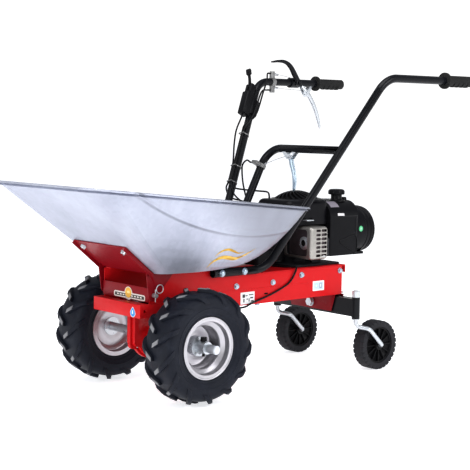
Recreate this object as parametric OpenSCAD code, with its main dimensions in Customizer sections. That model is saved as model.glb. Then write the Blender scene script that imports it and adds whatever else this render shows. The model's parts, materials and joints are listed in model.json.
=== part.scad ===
// Power wheelbarrow: galvanised tipping tub, petrol engine, worm-driven front axle and rear castors.
// +X is the machine's left side, +Y points back to the operator, +Z is up, and the tyres stand on Z = 0.

/* [Drive wheels] */
// Outside diameter of a drive tyre, over the lugs
tyre_d = 330; // [310:1:360]
// Width of a drive tyre
tyre_w = 122; // [110:1:130]
// Distance between the two drive tyres' middle planes
track = 442; // [420:1:470]
// Height of a tread lug above the carcass
lug_h = 12; // [6:0.5:16]
// Lugs in each of the two chevron rows
lug_count = 13; // [9:1:16]
// Diameter over the rim's flanges
rim_flange_d = 173; // [165:1:180]
// Width of the rim over its flanges
rim_w = 100; // [90:1:104]
// Diameter of the drive axle
axle_d = 25; // [20:0.5:28]
// Length of the drive axle
axle_len = 610; // [600:1:640]

/* [Castors] */
// Diameter of a castor wheel
castor_d = 160; // [140:1:166]
// Width of a castor wheel
castor_w = 44; // [36:1:48]
// Distance between the two castor stems
castor_track = 368; // [340:1:400]
// Distance from the drive axle back to the castor stems
wheelbase = 674; // [660:1:690]
// Distance that a castor wheel trails behind its stem
castor_trail = 92; // [88:1:110]
// Diameter of the bent castor rod
rod_d = 14; // [12:0.5:15]
// Height of the swinging beam
beam_h = 56; // [44:1:60]
// Depth of the swinging beam, front to back
beam_depth = 30; // [24:1:34]

/* [Chassis] */
// Width of the chassis box
chassis_w = 224; // [210:1:230]
// Height of the chassis underside above the ground
chassis_z = 243; // [240:1:250]
// Height of the chassis box
chassis_h = 92; // [88:1:98]
// Sheet thickness of the chassis
sheet = 3; // [2:0.5:4]
// How far the front part of the side plates stands above the box
upstand_h = 27; // [24:1:30]
// Width of a folded flange
flange_w = 25; // [18:1:30]
// Diameter of the tub's tilt pin
pin_d = 12; // [10:0.5:14]

/* [Tub] */
// Length of the tub over its rolled rim
tub_len = 815; // [760:1:860]
// Width of the tub over its rolled rim
tub_w = 614; // [560:1:640]
// Wall thickness of the tub
tub_wall = 1.5; // [1:0.1:2.5]
// Diameter of the rolled rim
roll_d = 12; // [10:0.5:14]
// Height of the rim's middle above the ground, over the drive axle
rim_z = 576; // [550:1:600]
// Fall of the rim towards the rear, in millimetres per millimetre
rim_fall = 0.1; // [0:0.01:0.15]

/* [Handles] */
// Diameter of the handle tube
tube_d = 25; // [22:0.5:28]
// Wall of the handle tube
tube_wall = 2; // [1.5:0.1:3]
// Distance between the two grips' axes
grip_track = 592; // [560:1:620]
// Height of the grips' axes above the ground
grip_z = 931; // [900:1:960]
// Distance from the drive axle back to the ends of the grips
grip_reach = 1076; // [1060:1:1100]
// Length of a grip
grip_len = 134; // [120:1:140]
// Diameter of a grip
grip_d = 34; // [32:0.5:38]

/* [Engine] */
// Distance from the drive axle back to the crankshaft
crank_reach = 580; // [570:1:590]
// Diameter of the starter's round grille
grille_d = 156; // [140:1:160]
// Diameter of the air filter's drum
drum_d = 158; // [140:1:160]

/* [Drive train] */
// Distance from the worm's axis to the drive axle
worm_distance = 50; // [48:0.5:54]
// Groove radius of the engine's pulley, where the belt runs
drive_pulley_r = 22; // [18:0.5:24]
// Groove radius of the gearbox's pulley, where the belt runs
driven_pulley_r = 31; // [26:0.5:32]
// Height of the belt's middle above the chassis underside
belt_rise = 25; // [22:1:32]

/* [Fits] */
// Radial clearance of a turning fit
run_gap = 0.05; // [0.02:0.01:0.1]
// Gap between parts that lie against each other
seat_gap = 0.3; // [0.2:0.05:0.5]

/* [Hidden] */
$fn = 48;
red = [0.78, 0.12, 0.14];
dark_red = [0.55, 0.07, 0.1];
black = [0.1, 0.1, 0.12];
rubber = [0.16, 0.17, 0.2];
zinc = [0.78, 0.79, 0.81];
galvanised = [0.7, 0.72, 0.78];
silver = [0.74, 0.74, 0.72];
bluish = [0.6, 0.7, 0.76];

// Drive wheels
axle_z = tyre_d / 2;
axle_r = axle_d / 2;
half_track = track / 2;
rim_flange_r = rim_flange_d / 2;
rim_seat_r = rim_flange_r - 10.5;
rim_well_r = rim_seat_r - 14;
rim_wall = 2.5;
rim_disc_at = -25;
hub_r = axle_r + 5;
hub_base_r = 28;
hub_base_len = 30;
hub_len = 66;
axle_groove = half_track + rim_disc_at + rim_wall + hub_len + 4;
carcass_r = axle_z - lug_h;
lock_pin_r = 4;

// Castors
stem_x = castor_track / 2;
stem_y = wheelbase;
rod_r = rod_d / 2;
stem_tube_r = rod_r + run_gap + 6;
beam_mid_z = 208;
beam_bottom = beam_mid_z - beam_h / 2;
beam_top = beam_mid_z + beam_h / 2;
stem_low = beam_bottom - 8;
stem_high = beam_top + 5;
beam_bolt_r = 8;

// Chassis
side_x = chassis_w / 2;
web_in = side_x - sheet;
chassis_top = chassis_z + chassis_h;
front_y = -90;
relief = 6;
rear_y = 682;
step_from = 300;
step_to = 336;
upstand_top = chassis_top + upstand_h;
deck_rear = 697;
lip_drop = 22;
bumper_y = -124;
bumper_h = 39;
bumper_back = -40;
pin_r = pin_d / 2;
pin_y = -80;
pin_z = chassis_z + 60;
cheek_x = side_x + 4;
frame_bolt_r = 4;
frame_bolt_at = [[233, 303], [380, 304], [501, 318], [671, 320]];
plate_t = 4;

// Tub: plan corners run front, middle, rear on the left side, and the right side mirrors them
tub_front = -389;
tub_rear = tub_front + tub_len;
roll_r = roll_d / 2;
lip_w = tub_w / 2 - roll_r;
tub_floor = upstand_top + seat_gap + sheet;
corner_steps = 8;
wall_steps = 8;
roll_steps = 9;
lip_left = [[262, tub_front + roll_r, 75], [lip_w + 4, 60, 420], [262, tub_rear - roll_r, 95]];
floor_left = [[150, -85, 45], [172, 60, 300], [132, 205, 60]];
curve_left = [1, 1.2, 1.8];
cradle_rear = 150;
cradle_half = side_x - 5;
panel_len = 128;
panel_half = 126;
tub_bolt_x = 100;

// Handles
tube_r = tube_d / 2;
tube_in_r = tube_r - tube_wall;
handle_x = side_x + tube_r + seat_gap;
handle_z = upstand_top - tube_r + 0.5;
handle_front = 130;
low_bend_y = 340;
top_bend_y = 672;
grip_x = grip_track / 2;
bend_r = 75;
plug = 0.5;
swell = 0.12;
handle_bolt_r = 4;
handle_bolt_at = [157, 244];
slope_vec = [grip_x - handle_x, top_bend_y - low_bend_y, grip_z - handle_z];
slope_len = norm(slope_vec);
slope = slope_vec / slope_len;
cross_z = 709;
cross_y = low_bend_y + (cross_z - handle_z) * slope.y / slope.z;
cross_corner_x = -100;
foot_t = 4;
leg_foot_y = cross_y - 0.516 * (cross_z - chassis_top);

// Engine
deck_t = 3;
engine_z = chassis_top + deck_t;
base_t = 7;
crank_r = 12;
case_r = 51;
shroud_z = 470;
shroud_top = 545;
grille_r = grille_d / 2;
drum_r = drum_d / 2;
drum_z = 439;
tank_side = 95;
cap_at = [40, 722];
muffler_low = 362;
muffler_high = 467;
guard_x = 124;
guard_front = 527;

// Drive train
worm_y = -worm_distance;
worm_r = 12;
worm_shaft_r = 8;
worm_wheel_r = worm_distance - worm_r - 0.5;
case_half = 19;
case_outer_r = 60;
belt_z = chassis_z + belt_rise;
belt_h = 9;
belt_t = 8;
pulley_h = belt_h + 9;
idler_pivot = [98, 330];
idler_at = [60, 415];
idler_r = 20;
shift_at = [45, 205];

// Levers
drive_pivot = [897, 899];
safety_pivot = [840, 931];
reverse_pivot = [6, 684];
hang_r = 4;

row_shift = -(tub_front + grip_reach) / 2;

// Everything is laid out from the drive axle, then moved so that the origin is under the middle.
module placed() {
    translate([0, row_shift, 0]) children();
}

module both_sides() {
    children();
    mirror([1, 0, 0]) children();
}

// A bar along X from x0 to x1
module bar_x(r, x0, x1) {
    translate([x0, 0, 0]) rotate([0, 90, 0]) cylinder(r = r, h = x1 - x0);
}

// A bar along Y from y0 to y1
module bar_y(r, y0, y1) {
    translate([0, y0, 0]) rotate([-90, 0, 0]) cylinder(r = r, h = y1 - y0);
}

// A block between two corners
module block(low, high) {
    translate(low) cube(high - low);
}

// A plate drawn in the YZ plane, from x0 to x1
module plate_yz(x0, x1) {
    translate([x0, 0, 0]) rotate([90, 0, 90]) linear_extrude(x1 - x0) children();
}

// A plate drawn in the XZ plane, from y0 to y1
module plate_xz(y0, y1) {
    translate([0, y1, 0]) rotate([90, 0, 0]) linear_extrude(y1 - y0) children();
}

// A ring turned about the X axis from a profile of [radius, x] points
module turned_x() {
    rotate([90, 0, 90]) rotate_extrude($fn = 96) children();
}

function unit(v) = v / norm(v);

// Puts children with their Z along "along" and their X as near to "side" as can be
module aimed(origin, along, side = [1, 0, 0]) {
    z = unit(along);
    x = unit(side - z * (side * z));
    y = cross(z, x);
    multmatrix([[x.x, y.x, z.x, origin.x], [x.y, y.y, z.y, origin.y], [x.z, y.z, z.z, origin.z]])
        children();
}

module tube_straight(from, to, r, inner) {
    aimed(from, to - from, [0.36, 0.48, -0.8])
        linear_extrude(norm(to - from)) difference() {
            circle(r = r);
            if (inner > 0) circle(r = inner);
        }
}

// One bend of a tube that runs a, b, c, with its corner at b
module tube_bend(a, b, c, bend, r, inner) {
    u = unit(b - a);
    v = unit(c - b);
    turn = acos(u * v);
    n = (v - u * cos(turn)) / sin(turn);
    start = b - u * bend * tan(turn / 2);
    z = cross(u, n);
    o = start + n * bend;
    multmatrix([[-n.x, u.x, z.x, o.x], [-n.y, u.y, z.y, o.y], [-n.z, u.z, z.z, o.z]])
        rotate_extrude(angle = turn, $fn = 96) translate([bend, 0]) difference() {
            circle(r = r, $fn = 32);
            if (inner > 0) circle(r = inner, $fn = 32);
        }
}

function bend_back(a, b, c, bend) = bend * tan(acos(unit(b - a) * unit(c - b)) / 2);

// A bent tube through its corner points, with one bend radius for each inner point. A bend is a
// hair thicker than the straights, which plug into its ends.
module bent_tube(points, bends, r, inner = 0) {
    last = len(points) - 1;
    union() for (i = [1:last]) {
        a = points[i - 1];
        b = points[i];
        u = unit(b - a);
        cut_a = i == 1 ? 0 : bend_back(points[i - 2], a, b, bends[i - 2]) - plug;
        cut_b = i == last ? 0 : bend_back(a, b, points[i + 1], bends[i - 1]) - plug;
        tube_straight(a + u * cut_a, b - u * cut_b, r, inner);
        if (i < last) tube_bend(a, b, points[i + 1], bends[i - 1], r + swell, max(inner - swell, 0));
    }
}

// Cables: a smooth line through hand-set points, swept with an eight-sided section
cable_sides = 8;
function spline_at(p0, p1, p2, p3, t) = 0.5 * (2 * p1 + (p2 - p0) * t
    + (2 * p0 - 5 * p1 + 4 * p2 - p3) * t * t + (3 * p1 - p0 - 3 * p2 + p3) * t * t * t);
function smooth_line(p, steps) = [for (i = [0:len(p) - 2]) for (k = [0:steps - 1])
    spline_at(p[max(i - 1, 0)], p[i], p[i + 1], p[min(i + 2, len(p) - 1)], k / steps),
    p[len(p) - 1]];
function heading(p, i) = unit(p[min(i + 1, len(p) - 1)] - p[max(i - 1, 0)]);
module cable(points, r, steps = 5) {
    line = smooth_line(points, steps);
    rings = [for (i = [0:len(line) - 1])
        let (t = heading(line, i), x = unit(cross(t, [0.62, 0.55, -0.56])), y = cross(t, x))
        for (k = [0:cable_sides - 1])
            line[i] + r * (x * cos(360 * k / cable_sides) + y * sin(360 * k / cable_sides))];
    last = (len(line) - 1) * cable_sides;
    sides = [for (i = [0:len(line) - 2]) for (k = [0:cable_sides - 1])
        let (a = i * cable_sides, n = (k + 1) % cable_sides)
        each [[a + k, a + cable_sides + k, a + n], [a + n, a + cable_sides + k, a + cable_sides + n]]];
    caps = [[for (k = [0:cable_sides - 1]) k], [for (k = [cable_sides - 1:-1:0]) last + k]];
    polyhedron(rings, concat(sides, caps));
}

// ---- Chassis ----

module side_outline() {
    polygon([[front_y, chassis_z], [rear_y, chassis_z], [rear_y, chassis_top],
        [step_to, chassis_top], [step_from, upstand_top], [front_y + relief, upstand_top],
        [front_y, upstand_top - relief / 2]]);
}

// Folded side plate: a web with a foot flange, a top flange and a raised front part
module chassis_side() {
    difference() {
        union() {
            plate_yz(web_in, side_x) side_outline();
            block([side_x - flange_w, front_y, chassis_z], [web_in, rear_y, chassis_z + sheet]);
            block([side_x - flange_w, step_to, chassis_top - sheet], [web_in, rear_y, chassis_top]);
            block([side_x - flange_w, front_y + relief, upstand_top - sheet],
                [web_in, step_from, upstand_top]);
        }
        translate([0, pin_y, pin_z]) bar_x(pin_r + run_gap, web_in - 1, side_x + 1);
        for (p = frame_bolt_at)
            translate([0, p.x, p.y]) bar_x(frame_bolt_r + run_gap, web_in - 1, side_x + 1);
        for (y = handle_bolt_at)
            translate([0, y, handle_z]) bar_x(handle_bolt_r + run_gap, web_in - 1, side_x + 1);
        translate([idler_pivot.x, idler_pivot.y, chassis_z - 1])
            cylinder(r = frame_bolt_r + run_gap, h = sheet + 2);
    }
}

module chassis_side_left() {
    color(red) placed() chassis_side();
}

module chassis_side_right() {
    color(red) placed() mirror([1, 0, 0]) chassis_side();
}

// Engine deck with a folded lip at the rear
module deck_plate() {
    color(red) placed() difference() {
        union() {
            block([-side_x, step_to + 2, chassis_top], [side_x, deck_rear, chassis_top + deck_t]);
            block([-side_x, deck_rear - sheet, chassis_top - lip_drop], [side_x, deck_rear, chassis_top]);
        }
        translate([0, crank_reach, chassis_top - 1]) cylinder(r = 40, h = deck_t + 2);
    }
}

module front_plate() {
    color(dark_red) placed()
        block([-side_x, front_y - sheet, chassis_z + bumper_h + seat_gap],
            [side_x, front_y, pin_z + 21]);
}

// Cross channel round the front of the chassis
module front_bumper() {
    top = chassis_z + bumper_h - 3.5;
    low = top - bumper_h;
    color(red) placed() difference() {
        union() {
            block([-side_x, bumper_y, low], [side_x, bumper_y + sheet, top]);
            block([-side_x, bumper_y + sheet, top - sheet], [side_x, front_y - sheet, top]);
            both_sides()
                block([side_x + seat_gap, bumper_y, low], [side_x + seat_gap + sheet, bumper_back, top]);
            both_sides() block([side_x, bumper_y, low], [side_x + seat_gap, bumper_y + sheet, top]);
        }
        translate([0, bumper_y + 17, low + bumper_h / 2]) bar_x(4.25, -side_x - 9, side_x + 9);
    }
}

// Cross plate that carries the gearbox, on top of the side plates' foot flanges
module gearbox_plate() {
    color(red) placed() difference() {
        block([-web_in + seat_gap, front_y + seat_gap, chassis_z + sheet],
            [web_in - seat_gap, 70, chassis_z + sheet + plate_t]);
        translate([0, worm_y, chassis_z]) cylinder(r = worm_shaft_r + 4, h = 20);
    }
}

// Folded bracket under the chassis rear that straddles the swinging beam
module beam_bracket() {
    front = stem_y - beam_depth / 2 - 6;
    back = stem_y + beam_depth / 2 + 3;
    low = beam_bottom + 7;
    web = chassis_z + sheet;
    module cheek(top_half) {
        polygon([[-93, low], [93, low], [top_half, chassis_z - 1], [-top_half, chassis_z - 1]]);
    }
    color(dark_red) placed() difference() {
        union() {
            block([-web_in + seat_gap, front, web], [web_in - seat_gap, back + sheet, web + sheet]);
            plate_xz(front, front + sheet) cheek(side_x - 2);
            plate_xz(back, back + sheet) cheek(side_x - 2);
            for (y = [front, back])
                block([-side_x + flange_w + 1, y, chassis_z - 1], [side_x - flange_w - 1, y + sheet, web]);
        }
        translate([0, 0, beam_mid_z]) bar_y(beam_bolt_r + run_gap, front - 1, back + sheet + 1);
    }
}

module bolt_x(y, z, outer, inner) {
    translate([0, y, z]) {
        bar_x(frame_bolt_r, inner - 9, outer + 1);
        bar_x(9, outer, outer + 1.6);
        translate([outer + 1.6, 0, 0]) rotate([0, 90, 0]) cylinder(r = 7.4, h = 5, $fn = 6);
        translate([inner - 7.5, 0, 0]) rotate([0, 90, 0]) cylinder(r = 7.4, h = 6.5, $fn = 6);
    }
}

// Side bolts of the chassis, and the bolts that the belt tensioner swings on
module frame_bolts() {
    color(zinc) placed() {
        both_sides() for (p = frame_bolt_at) bolt_x(p.x, p.y, side_x, web_in);
        translate([idler_pivot.x, idler_pivot.y, chassis_z - 7]) {
            cylinder(r = frame_bolt_r, h = 22);
            translate([0, 0, 0.5]) cylinder(r = 7.4, h = 6.5, $fn = 6);
            translate([0, 0, 15]) cylinder(r = 7.4, h = 6, $fn = 6);
        }
    }
}

// ---- Handles ----

function handle_points() = [[handle_x, handle_front, handle_z], [handle_x, low_bend_y, handle_z],
    [grip_x, top_bend_y, grip_z], [grip_x, grip_reach - 5, grip_z]];

module handle() {
    difference() {
        bent_tube(handle_points(), [bend_r, bend_r], tube_r, tube_in_r);
        for (y = handle_bolt_at) translate([0, y, handle_z])
            bar_x(handle_bolt_r + run_gap, handle_x - tube_r - 2, handle_x + tube_r + 2);
    }
}

module handle_left() {
    color(black) placed() handle();
}

module handle_right() {
    color(black) placed() mirror([1, 0, 0]) handle();
}

// Cross tube: from the left handle, across, then down to a foot on the deck
module cross_tube() {
    foot_z = chassis_top + deck_t;
    dir = unit([0, -0.516, -1]);
    corner = [cross_corner_x, cross_y, cross_z];
    reach = (cross_z - foot_z - foot_t) / -dir.z;
    foot_at = corner + dir * reach;
    start = [handle_x + (cross_y - low_bend_y) * slope.x / slope.y, cross_y, cross_z];
    color(black) placed() {
        difference() {
            bent_tube([start, corner, corner + dir * (reach + 20)], [62], tube_r, tube_in_r);
            aimed(start - slope * 60, slope) cylinder(r = tube_r + seat_gap, h = 120);
            block([cross_corner_x - 40, foot_at.y - 60, foot_z - 30],
                [cross_corner_x + 40, foot_at.y + 40, foot_z + foot_t]);
        }
        difference() {
            block([cross_corner_x - 12, foot_at.y - 18, foot_z], [cross_corner_x + 24, foot_at.y + 46, foot_z + foot_t]);
            translate([cross_corner_x + 6, foot_at.y + 34, foot_z - 1]) cylinder(r = 4.25, h = foot_t + 2);
        }
    }
}

// Domed carriage bolts through the handle tubes and the raised side plates
module handle_bolts() {
    dome_r = 11;
    dome_h = 7;
    ball = (dome_r * dome_r + dome_h * dome_h) / (2 * dome_h);
    seat = handle_x + tube_r + seat_gap;
    color(zinc) placed() both_sides() for (y = handle_bolt_at) translate([0, y, handle_z]) {
        bar_x(handle_bolt_r, web_in - 8, seat + 1);
        translate([seat, 0, 0]) rotate([0, 90, 0]) rotate_extrude() intersection() {
            translate([0, dome_h - ball]) circle(r = ball, $fn = 64);
            square([dome_r, dome_h]);
        }
        translate([web_in - 7, 0, 0]) rotate([0, 90, 0]) cylinder(r = 7.4, h = 6.7, $fn = 6);
    }
}

// Ribbed rubber grip with a collar at its front end and a closed rear end
module grip() {
    front = grip_reach - grip_len;
    translate([grip_x, 0, grip_z]) difference() {
        union() {
            bar_y(grip_d / 2, front, grip_reach - 3);
            bar_y(grip_d / 2 - 3, grip_reach - 3, grip_reach);
            bar_y(26, front, front + 6);
            bar_y(20, front + 6, front + 14);
            for (i = [0:3]) translate([0, front + 36 + 22 * i, -3]) bar_y(grip_d / 2, 0, 9);
        }
        bar_y(tube_r + run_gap, front - 1, grip_reach - 4.5);
    }
}

module grip_left() {
    color(rubber) placed() grip();
}

module grip_right() {
    color(rubber) placed() mirror([1, 0, 0]) grip();
}

// ---- Levers ----

// Hanger of the drive lever, under the right handle tube
module drive_hanger() {
    rise = grip_z - drive_pivot.y - tube_r - seat_gap;
    color(black) placed() translate([-grip_x, drive_pivot.x, drive_pivot.y]) {
        difference() {
            union() {
                for (s = [-1, 1]) plate_yz(s * 7 - 1.5, s * 7 + 1.5)
                    polygon([[-9, -8], [9, -8], [30, rise + 10], [19, rise + 10], [3, 8], [-3, 8],
                        [-19, rise + 10], [-30, rise + 10]]);
                bar_x(hang_r, -12, 12);
            }
            translate([0, 0, grip_z - drive_pivot.y]) bar_y(tube_r + seat_gap, -40, 40);
        }
    }
}

// Hanger of the reverse lever, under the cross tube
module reverse_hanger() {
    rise = cross_z - reverse_pivot.y - tube_r - seat_gap;
    color(black) placed() translate([reverse_pivot.x, cross_y, reverse_pivot.y]) difference() {
        union() {
            for (s = [-1, 1]) plate_xz(s * 7 - 1.5, s * 7 + 1.5)
                polygon([[-9, -8], [9, -8], [38, rise + 10], [26, rise + 10], [3, 8], [-3, 8],
                    [-26, rise + 10], [-38, rise + 10]]);
            bar_y(hang_r, -12, 12);
        }
        translate([0, 0, cross_z - reverse_pivot.y]) bar_x(tube_r + seat_gap, -50, 50);
    }
}

// A flat blade of the given thickness along a line of points, with a half-width at each point
module blade(line, wide, from, to) {
    for (i = [0:len(line) - 2]) {
        a = line[i];
        b = line[i + 1];
        n = unit([-(b - a).y, (b - a).x]);
        plate_yz(from, to)
            polygon([a - n * wide[i], b - n * wide[i + 1], b + n * wide[i + 1], a + n * wide[i]]);
    }
    for (i = [0:len(line) - 1]) plate_yz(from, to) translate(line[i]) circle(r = wide[i] + 0.5, $fn = 32);
}

// Silver drive lever: hangs behind its pivot and swings up to the grip
module drive_lever() {
    line = [[0, 0], [24, -22], [48, -58], [64, -96], [72, -124]];
    color(silver) placed() translate([-grip_x, drive_pivot.x, drive_pivot.y]) difference() {
        union() {
            blade(line, [9, 9, 9, 8, 5], -5, 5);
            blade([[0, 0], [-10, -14]], [9, 5], -5, 5);
        }
        bar_x(hang_r + run_gap, -6, 6);
    }
}

// Reverse lever: hangs under the cross tube and swings towards the left handle
module reverse_lever() {
    line = [[0, 0], [8, -26], [17, -52], [21, -79], [18, -106]];
    color(bluish) placed() translate([reverse_pivot.x, cross_y, reverse_pivot.y]) difference() {
        rotate([0, 0, -90]) union() {
            blade(line, [10, 9, 8, 8, 5], -5, 5);
            blade([[0, 0], [-14, -6]], [9, 5], -5, 5);
        }
        bar_y(hang_r + run_gap, -6, 6);
    }
}

// Clamp of the safety lever, on the right handle tube
module safety_clamp() {
    color(black) placed() translate([-grip_x, safety_pivot.x, safety_pivot.y]) difference() {
        union() {
            bar_y(tube_r + 5, -22, 16);
            bar_x(hang_r, tube_r, tube_r + 21);
            translate([tube_r + 17.3, 0, 0]) rotate([0, 90, 0]) cylinder(r = 7, h = 5, $fn = 6);
        }
        bar_y(tube_r + seat_gap, -30, 30);
    }
}

// Curved safety lever: stands up from its pivot and bends forward
module safety_lever() {
    line = [[0, 0], [-20, 28], [-42, 56], [-66, 68], [-96, 70], [-130, 67]];
    x0 = tube_r + 5 + seat_gap;
    color(black) placed() translate([-grip_x, safety_pivot.x, safety_pivot.y]) difference() {
        union() blade(line, [12, 11, 10, 7, 6, 3], x0, x0 + 11);
        bar_x(hang_r + run_gap, x0 - 1, x0 + 12);
    }
}

function right_at(d, across, behind) = [-handle_x, low_bend_y, handle_z]
    + [-slope.x, slope.y, slope.z] * d
    + unit([1 - slope.x * slope.x, slope.x * slope.y, slope.x * slope.z]) * across
    + cross([-slope.x, slope.y, slope.z],
        unit([1 - slope.x * slope.x, slope.x * slope.y, slope.x * slope.z])) * behind;
box_d = 590;
box_len = 106;
throttle_at = [0, -32, 62];

// Throttle control box, clamped to the front of the right handle's slope
module throttle_box() {
    color(black) placed() aimed(right_at(box_d, 0, 0), [-slope.x, slope.y, slope.z]) difference() {
        union() {
            block([-15, -46, -box_len / 2], [15, -tube_r - 1, box_len / 2 - 18]);
            block([-15, -38, box_len / 2 - 18], [-4, -tube_r - 1, box_len / 2 + 16]);
            block([4, -38, box_len / 2 - 18], [15, -tube_r - 1, box_len / 2 + 16]);
            block([-17, -tube_r - 1, -40], [17, tube_r + 4, 20]);
            translate([0, throttle_at.y, throttle_at.z]) bar_x(2.5, -5, 5);
        }
        translate([0, 0, -box_len]) cylinder(r = tube_r + seat_gap, h = box_len * 2);
    }
}

// Small throttle lever with a knob, between the cheeks of its box
module throttle_lever() {
    color(black) placed() aimed(right_at(box_d, 0, 0), [-slope.x, slope.y, slope.z])
        translate(throttle_at) difference() {
            union() {
                blade([[0, 0], [-8, 22], [-20, 44]], [5, 4, 4], -3, 3);
                blade([[-18, 40], [-22, 48]], [6, 6], -7, 7);
            }
            bar_x(2.5 + run_gap, -4, 4);
        }
}

// ---- Cables and their clips ----

cable_r = 2.8;
clip_t = 3;
tie_at = [285, 345, 470];
cable_lane = tube_r + cable_r + 0.5;

// Stops that hold the cable ends, and ties round the right handle and its cables
stop_y = 728;
stop_drop = 16;
leg_dir = unit([0, -0.516, -1]);
leg_stop = [cross_corner_x, cross_y, cross_z] + leg_dir * 66;
module cable_clips() {
    color(black) placed() {
        translate([-grip_x, 0, grip_z]) difference() {
            union() {
                bar_y(tube_r + clip_t, stop_y, stop_y + 16);
                block([-5, stop_y, tube_r], [5, stop_y + 16, tube_r + 24]);
                block([-5, stop_y, -tube_r - 24], [5, stop_y + 16, -tube_r]);
            }
            bar_y(tube_r + seat_gap, stop_y - 5, stop_y + 20);
            translate([0, 0, tube_r + stop_drop]) bar_y(1.5, stop_y - 5, stop_y + 20);
            translate([0, 0, -tube_r - stop_drop]) bar_y(1.5, stop_y - 5, stop_y + 20);
        }
        aimed(leg_stop, leg_dir) difference() {
            union() {
                translate([0, 0, -6]) cylinder(r = tube_r + clip_t, h = 12);
                block([-12, tube_r, -5], [12, tube_r + 22, 5]);
            }
            translate([0, 0, -10]) cylinder(r = tube_r + seat_gap, h = 20);
            translate([0, tube_r + 14, 0]) bar_x(1.5, -13, 13);
        }
        for (d = tie_at) aimed(right_at(d, 0, 0), [-slope.x, slope.y, slope.z]) difference() {
            union() {
                cylinder(r = tube_r + 1.8, h = 4);
                translate([-11, -cable_lane - cable_r - 1.4, 0]) cube([22, 9, 4]);
            }
            translate([0, 0, -1]) cylinder(r = tube_r + seat_gap, h = 6);
            translate([-9.4, -cable_lane - cable_r - 0.1, -1]) cube([18.8, 2 * cable_r + 0.4, 6]);
        }
    }
}

drive_cable_line = [[-grip_x, stop_y - 1.5, grip_z - tube_r - stop_drop],
    [-grip_x, 712, grip_z - tube_r - stop_drop], right_at(640, 26, 2), right_at(550, 22, -3),
    right_at(500, 12, -16), right_at(470, 6, -cable_lane), right_at(345, 6, -cable_lane),
    right_at(285, 6, -cable_lane), right_at(262, 15, -12), right_at(240, 19, 2), [-130, 475, 522],
    [-98, 478, 474], [-86, 458, 420], [-86, 444, 376], [-86, 444, chassis_top + deck_t + seat_gap]];
safety_cable_line = [[-grip_x, stop_y - 1.5, grip_z + tube_r + stop_drop],
    [-grip_x + 2, 712, grip_z + tube_r + 15], [-270, 688, 934], right_at(640, 24, 12),
    right_at(550, 22, 6), right_at(505, 8, -18), right_at(470, 0, -cable_lane),
    right_at(345, 0, -cable_lane), right_at(285, 0, -cable_lane), right_at(272, 9, -17),
    right_at(262, 21, -4), [-140, 488, 572], [-100, 504, 570], [-68, 515, 568],
    [-60, 516, 557], [-60, 516, shroud_top + 0.8]];
throttle_cable_line = [right_at(box_d - box_len / 2 - 0.5, 0, -34), right_at(520, 0, -35),
    right_at(470, -3, -40), right_at(420, -5, -32), right_at(370, -6, -cable_lane - 3),
    right_at(345, -6, -cable_lane), right_at(285, -6, -cable_lane), right_at(268, -16, -10),
    right_at(248, -16, 8), right_at(238, 0, 18), [-140, 482, 530], [-108, 486, 480], [-96, 490, 436],
    [-86, 500, 421], [-73.5, 500, 420]];
reverse_cable_line = [leg_stop + [-13.5, 0, 0] + cross(leg_dir, [1, 0, 0]) * (tube_r + 14),
    leg_stop + [-26, 0, 0] + cross(leg_dir, [1, 0, 0]) * (tube_r + 14), [-160, 506, 668],
    [-184, 508, 652], [-176, 500, 622], [-160, 491, 590], [-152, 493, 560], [-148, 500, 528],
    [-126, 500, 480], [-112, 488, 440], [-106, 470, 400], [-98, 440, 366], [-72, 426, 345],
    [0, 438, 343], [80, 460, 343], [104, 474, 345.5], [116, 475, 343], [118, 468, 328],
    [116, 452, 304], [116, 430, 290], [116, 370, 268], [116, 300, 250], [117, 280, 244],
    [112, 262, 237], [80, 200, 228], [46, 130, 204], [28, 92, 184], [28, 78, 181]];

module handle_cables() {
    color(black) placed() {
        cable(drive_cable_line, cable_r, 4);
        cable(safety_cable_line, cable_r, 4);
        cable(throttle_cable_line, cable_r, 4);
    }
}

module reverse_cable() {
    color(black) placed() cable(reverse_cable_line, cable_r, 3);
}

// ---- Gearbox and drive ----

// Outline of the gearbox in the YZ plane, grown by g
module case_outline(g) {
    low = 138;
    corner = 14;
    translate([0, axle_z]) circle(r = case_outer_r + g, $fn = 96);
    translate([worm_y - 22 - g, low + corner]) square([52 + 2 * g, chassis_z - low - corner]);
    translate([worm_y - 22 - g + corner, low - g]) square([38, 60]);
    translate([worm_y - 22 - g + corner, low - g + corner]) circle(r = corner);
}

module gearbox_half() {
    top = chassis_z + sheet;
    difference() {
        union() {
            plate_yz(seat_gap / 2, case_half) case_outline(0);
            plate_yz(seat_gap / 2, 6) difference() {
                case_outline(7);
                translate([-200, chassis_z - 6]) square([400, 100]);
            }
            block([seat_gap / 2, worm_y - 30, top - 7], [44, 42, top]);
            translate([0, 0, axle_z]) bar_x(26, case_half, case_half + 16);
        }
        translate([0, 0, axle_z]) bar_x(axle_r + run_gap, 0, case_half + 20);
        translate([0, 0, axle_z]) bar_x(worm_wheel_r + 4, 0, 14);
        block([0, worm_y - 15, 144], [14, -10, 196]);
        translate([0, worm_y, 130]) cylinder(r = worm_shaft_r + run_gap, h = 130);
    }
}

module gearbox_left() {
    color(red) placed() difference() {
        gearbox_half();
        translate([0, shift_at.x, shift_at.y]) bar_x(5 + run_gap, 12, case_half + 1);
    }
}

module gearbox_right() {
    color(red) placed() mirror([1, 0, 0]) gearbox_half();
}

// A pulley with one belt groove, its groove floor at radius r
module pulley(r, bore) {
    translate([0, 0, -pulley_h / 2]) difference() {
        cylinder(r = r + belt_t + 2, h = pulley_h);
        translate([0, 0, (pulley_h - belt_h) / 2 - seat_gap]) difference() {
            cylinder(r = r + belt_t + 4, h = belt_h + 2 * seat_gap);
            cylinder(r = r, h = belt_h + 2 * seat_gap);
        }
        translate([0, 0, -1]) cylinder(r = bore, h = pulley_h + 2);
    }
}

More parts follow.
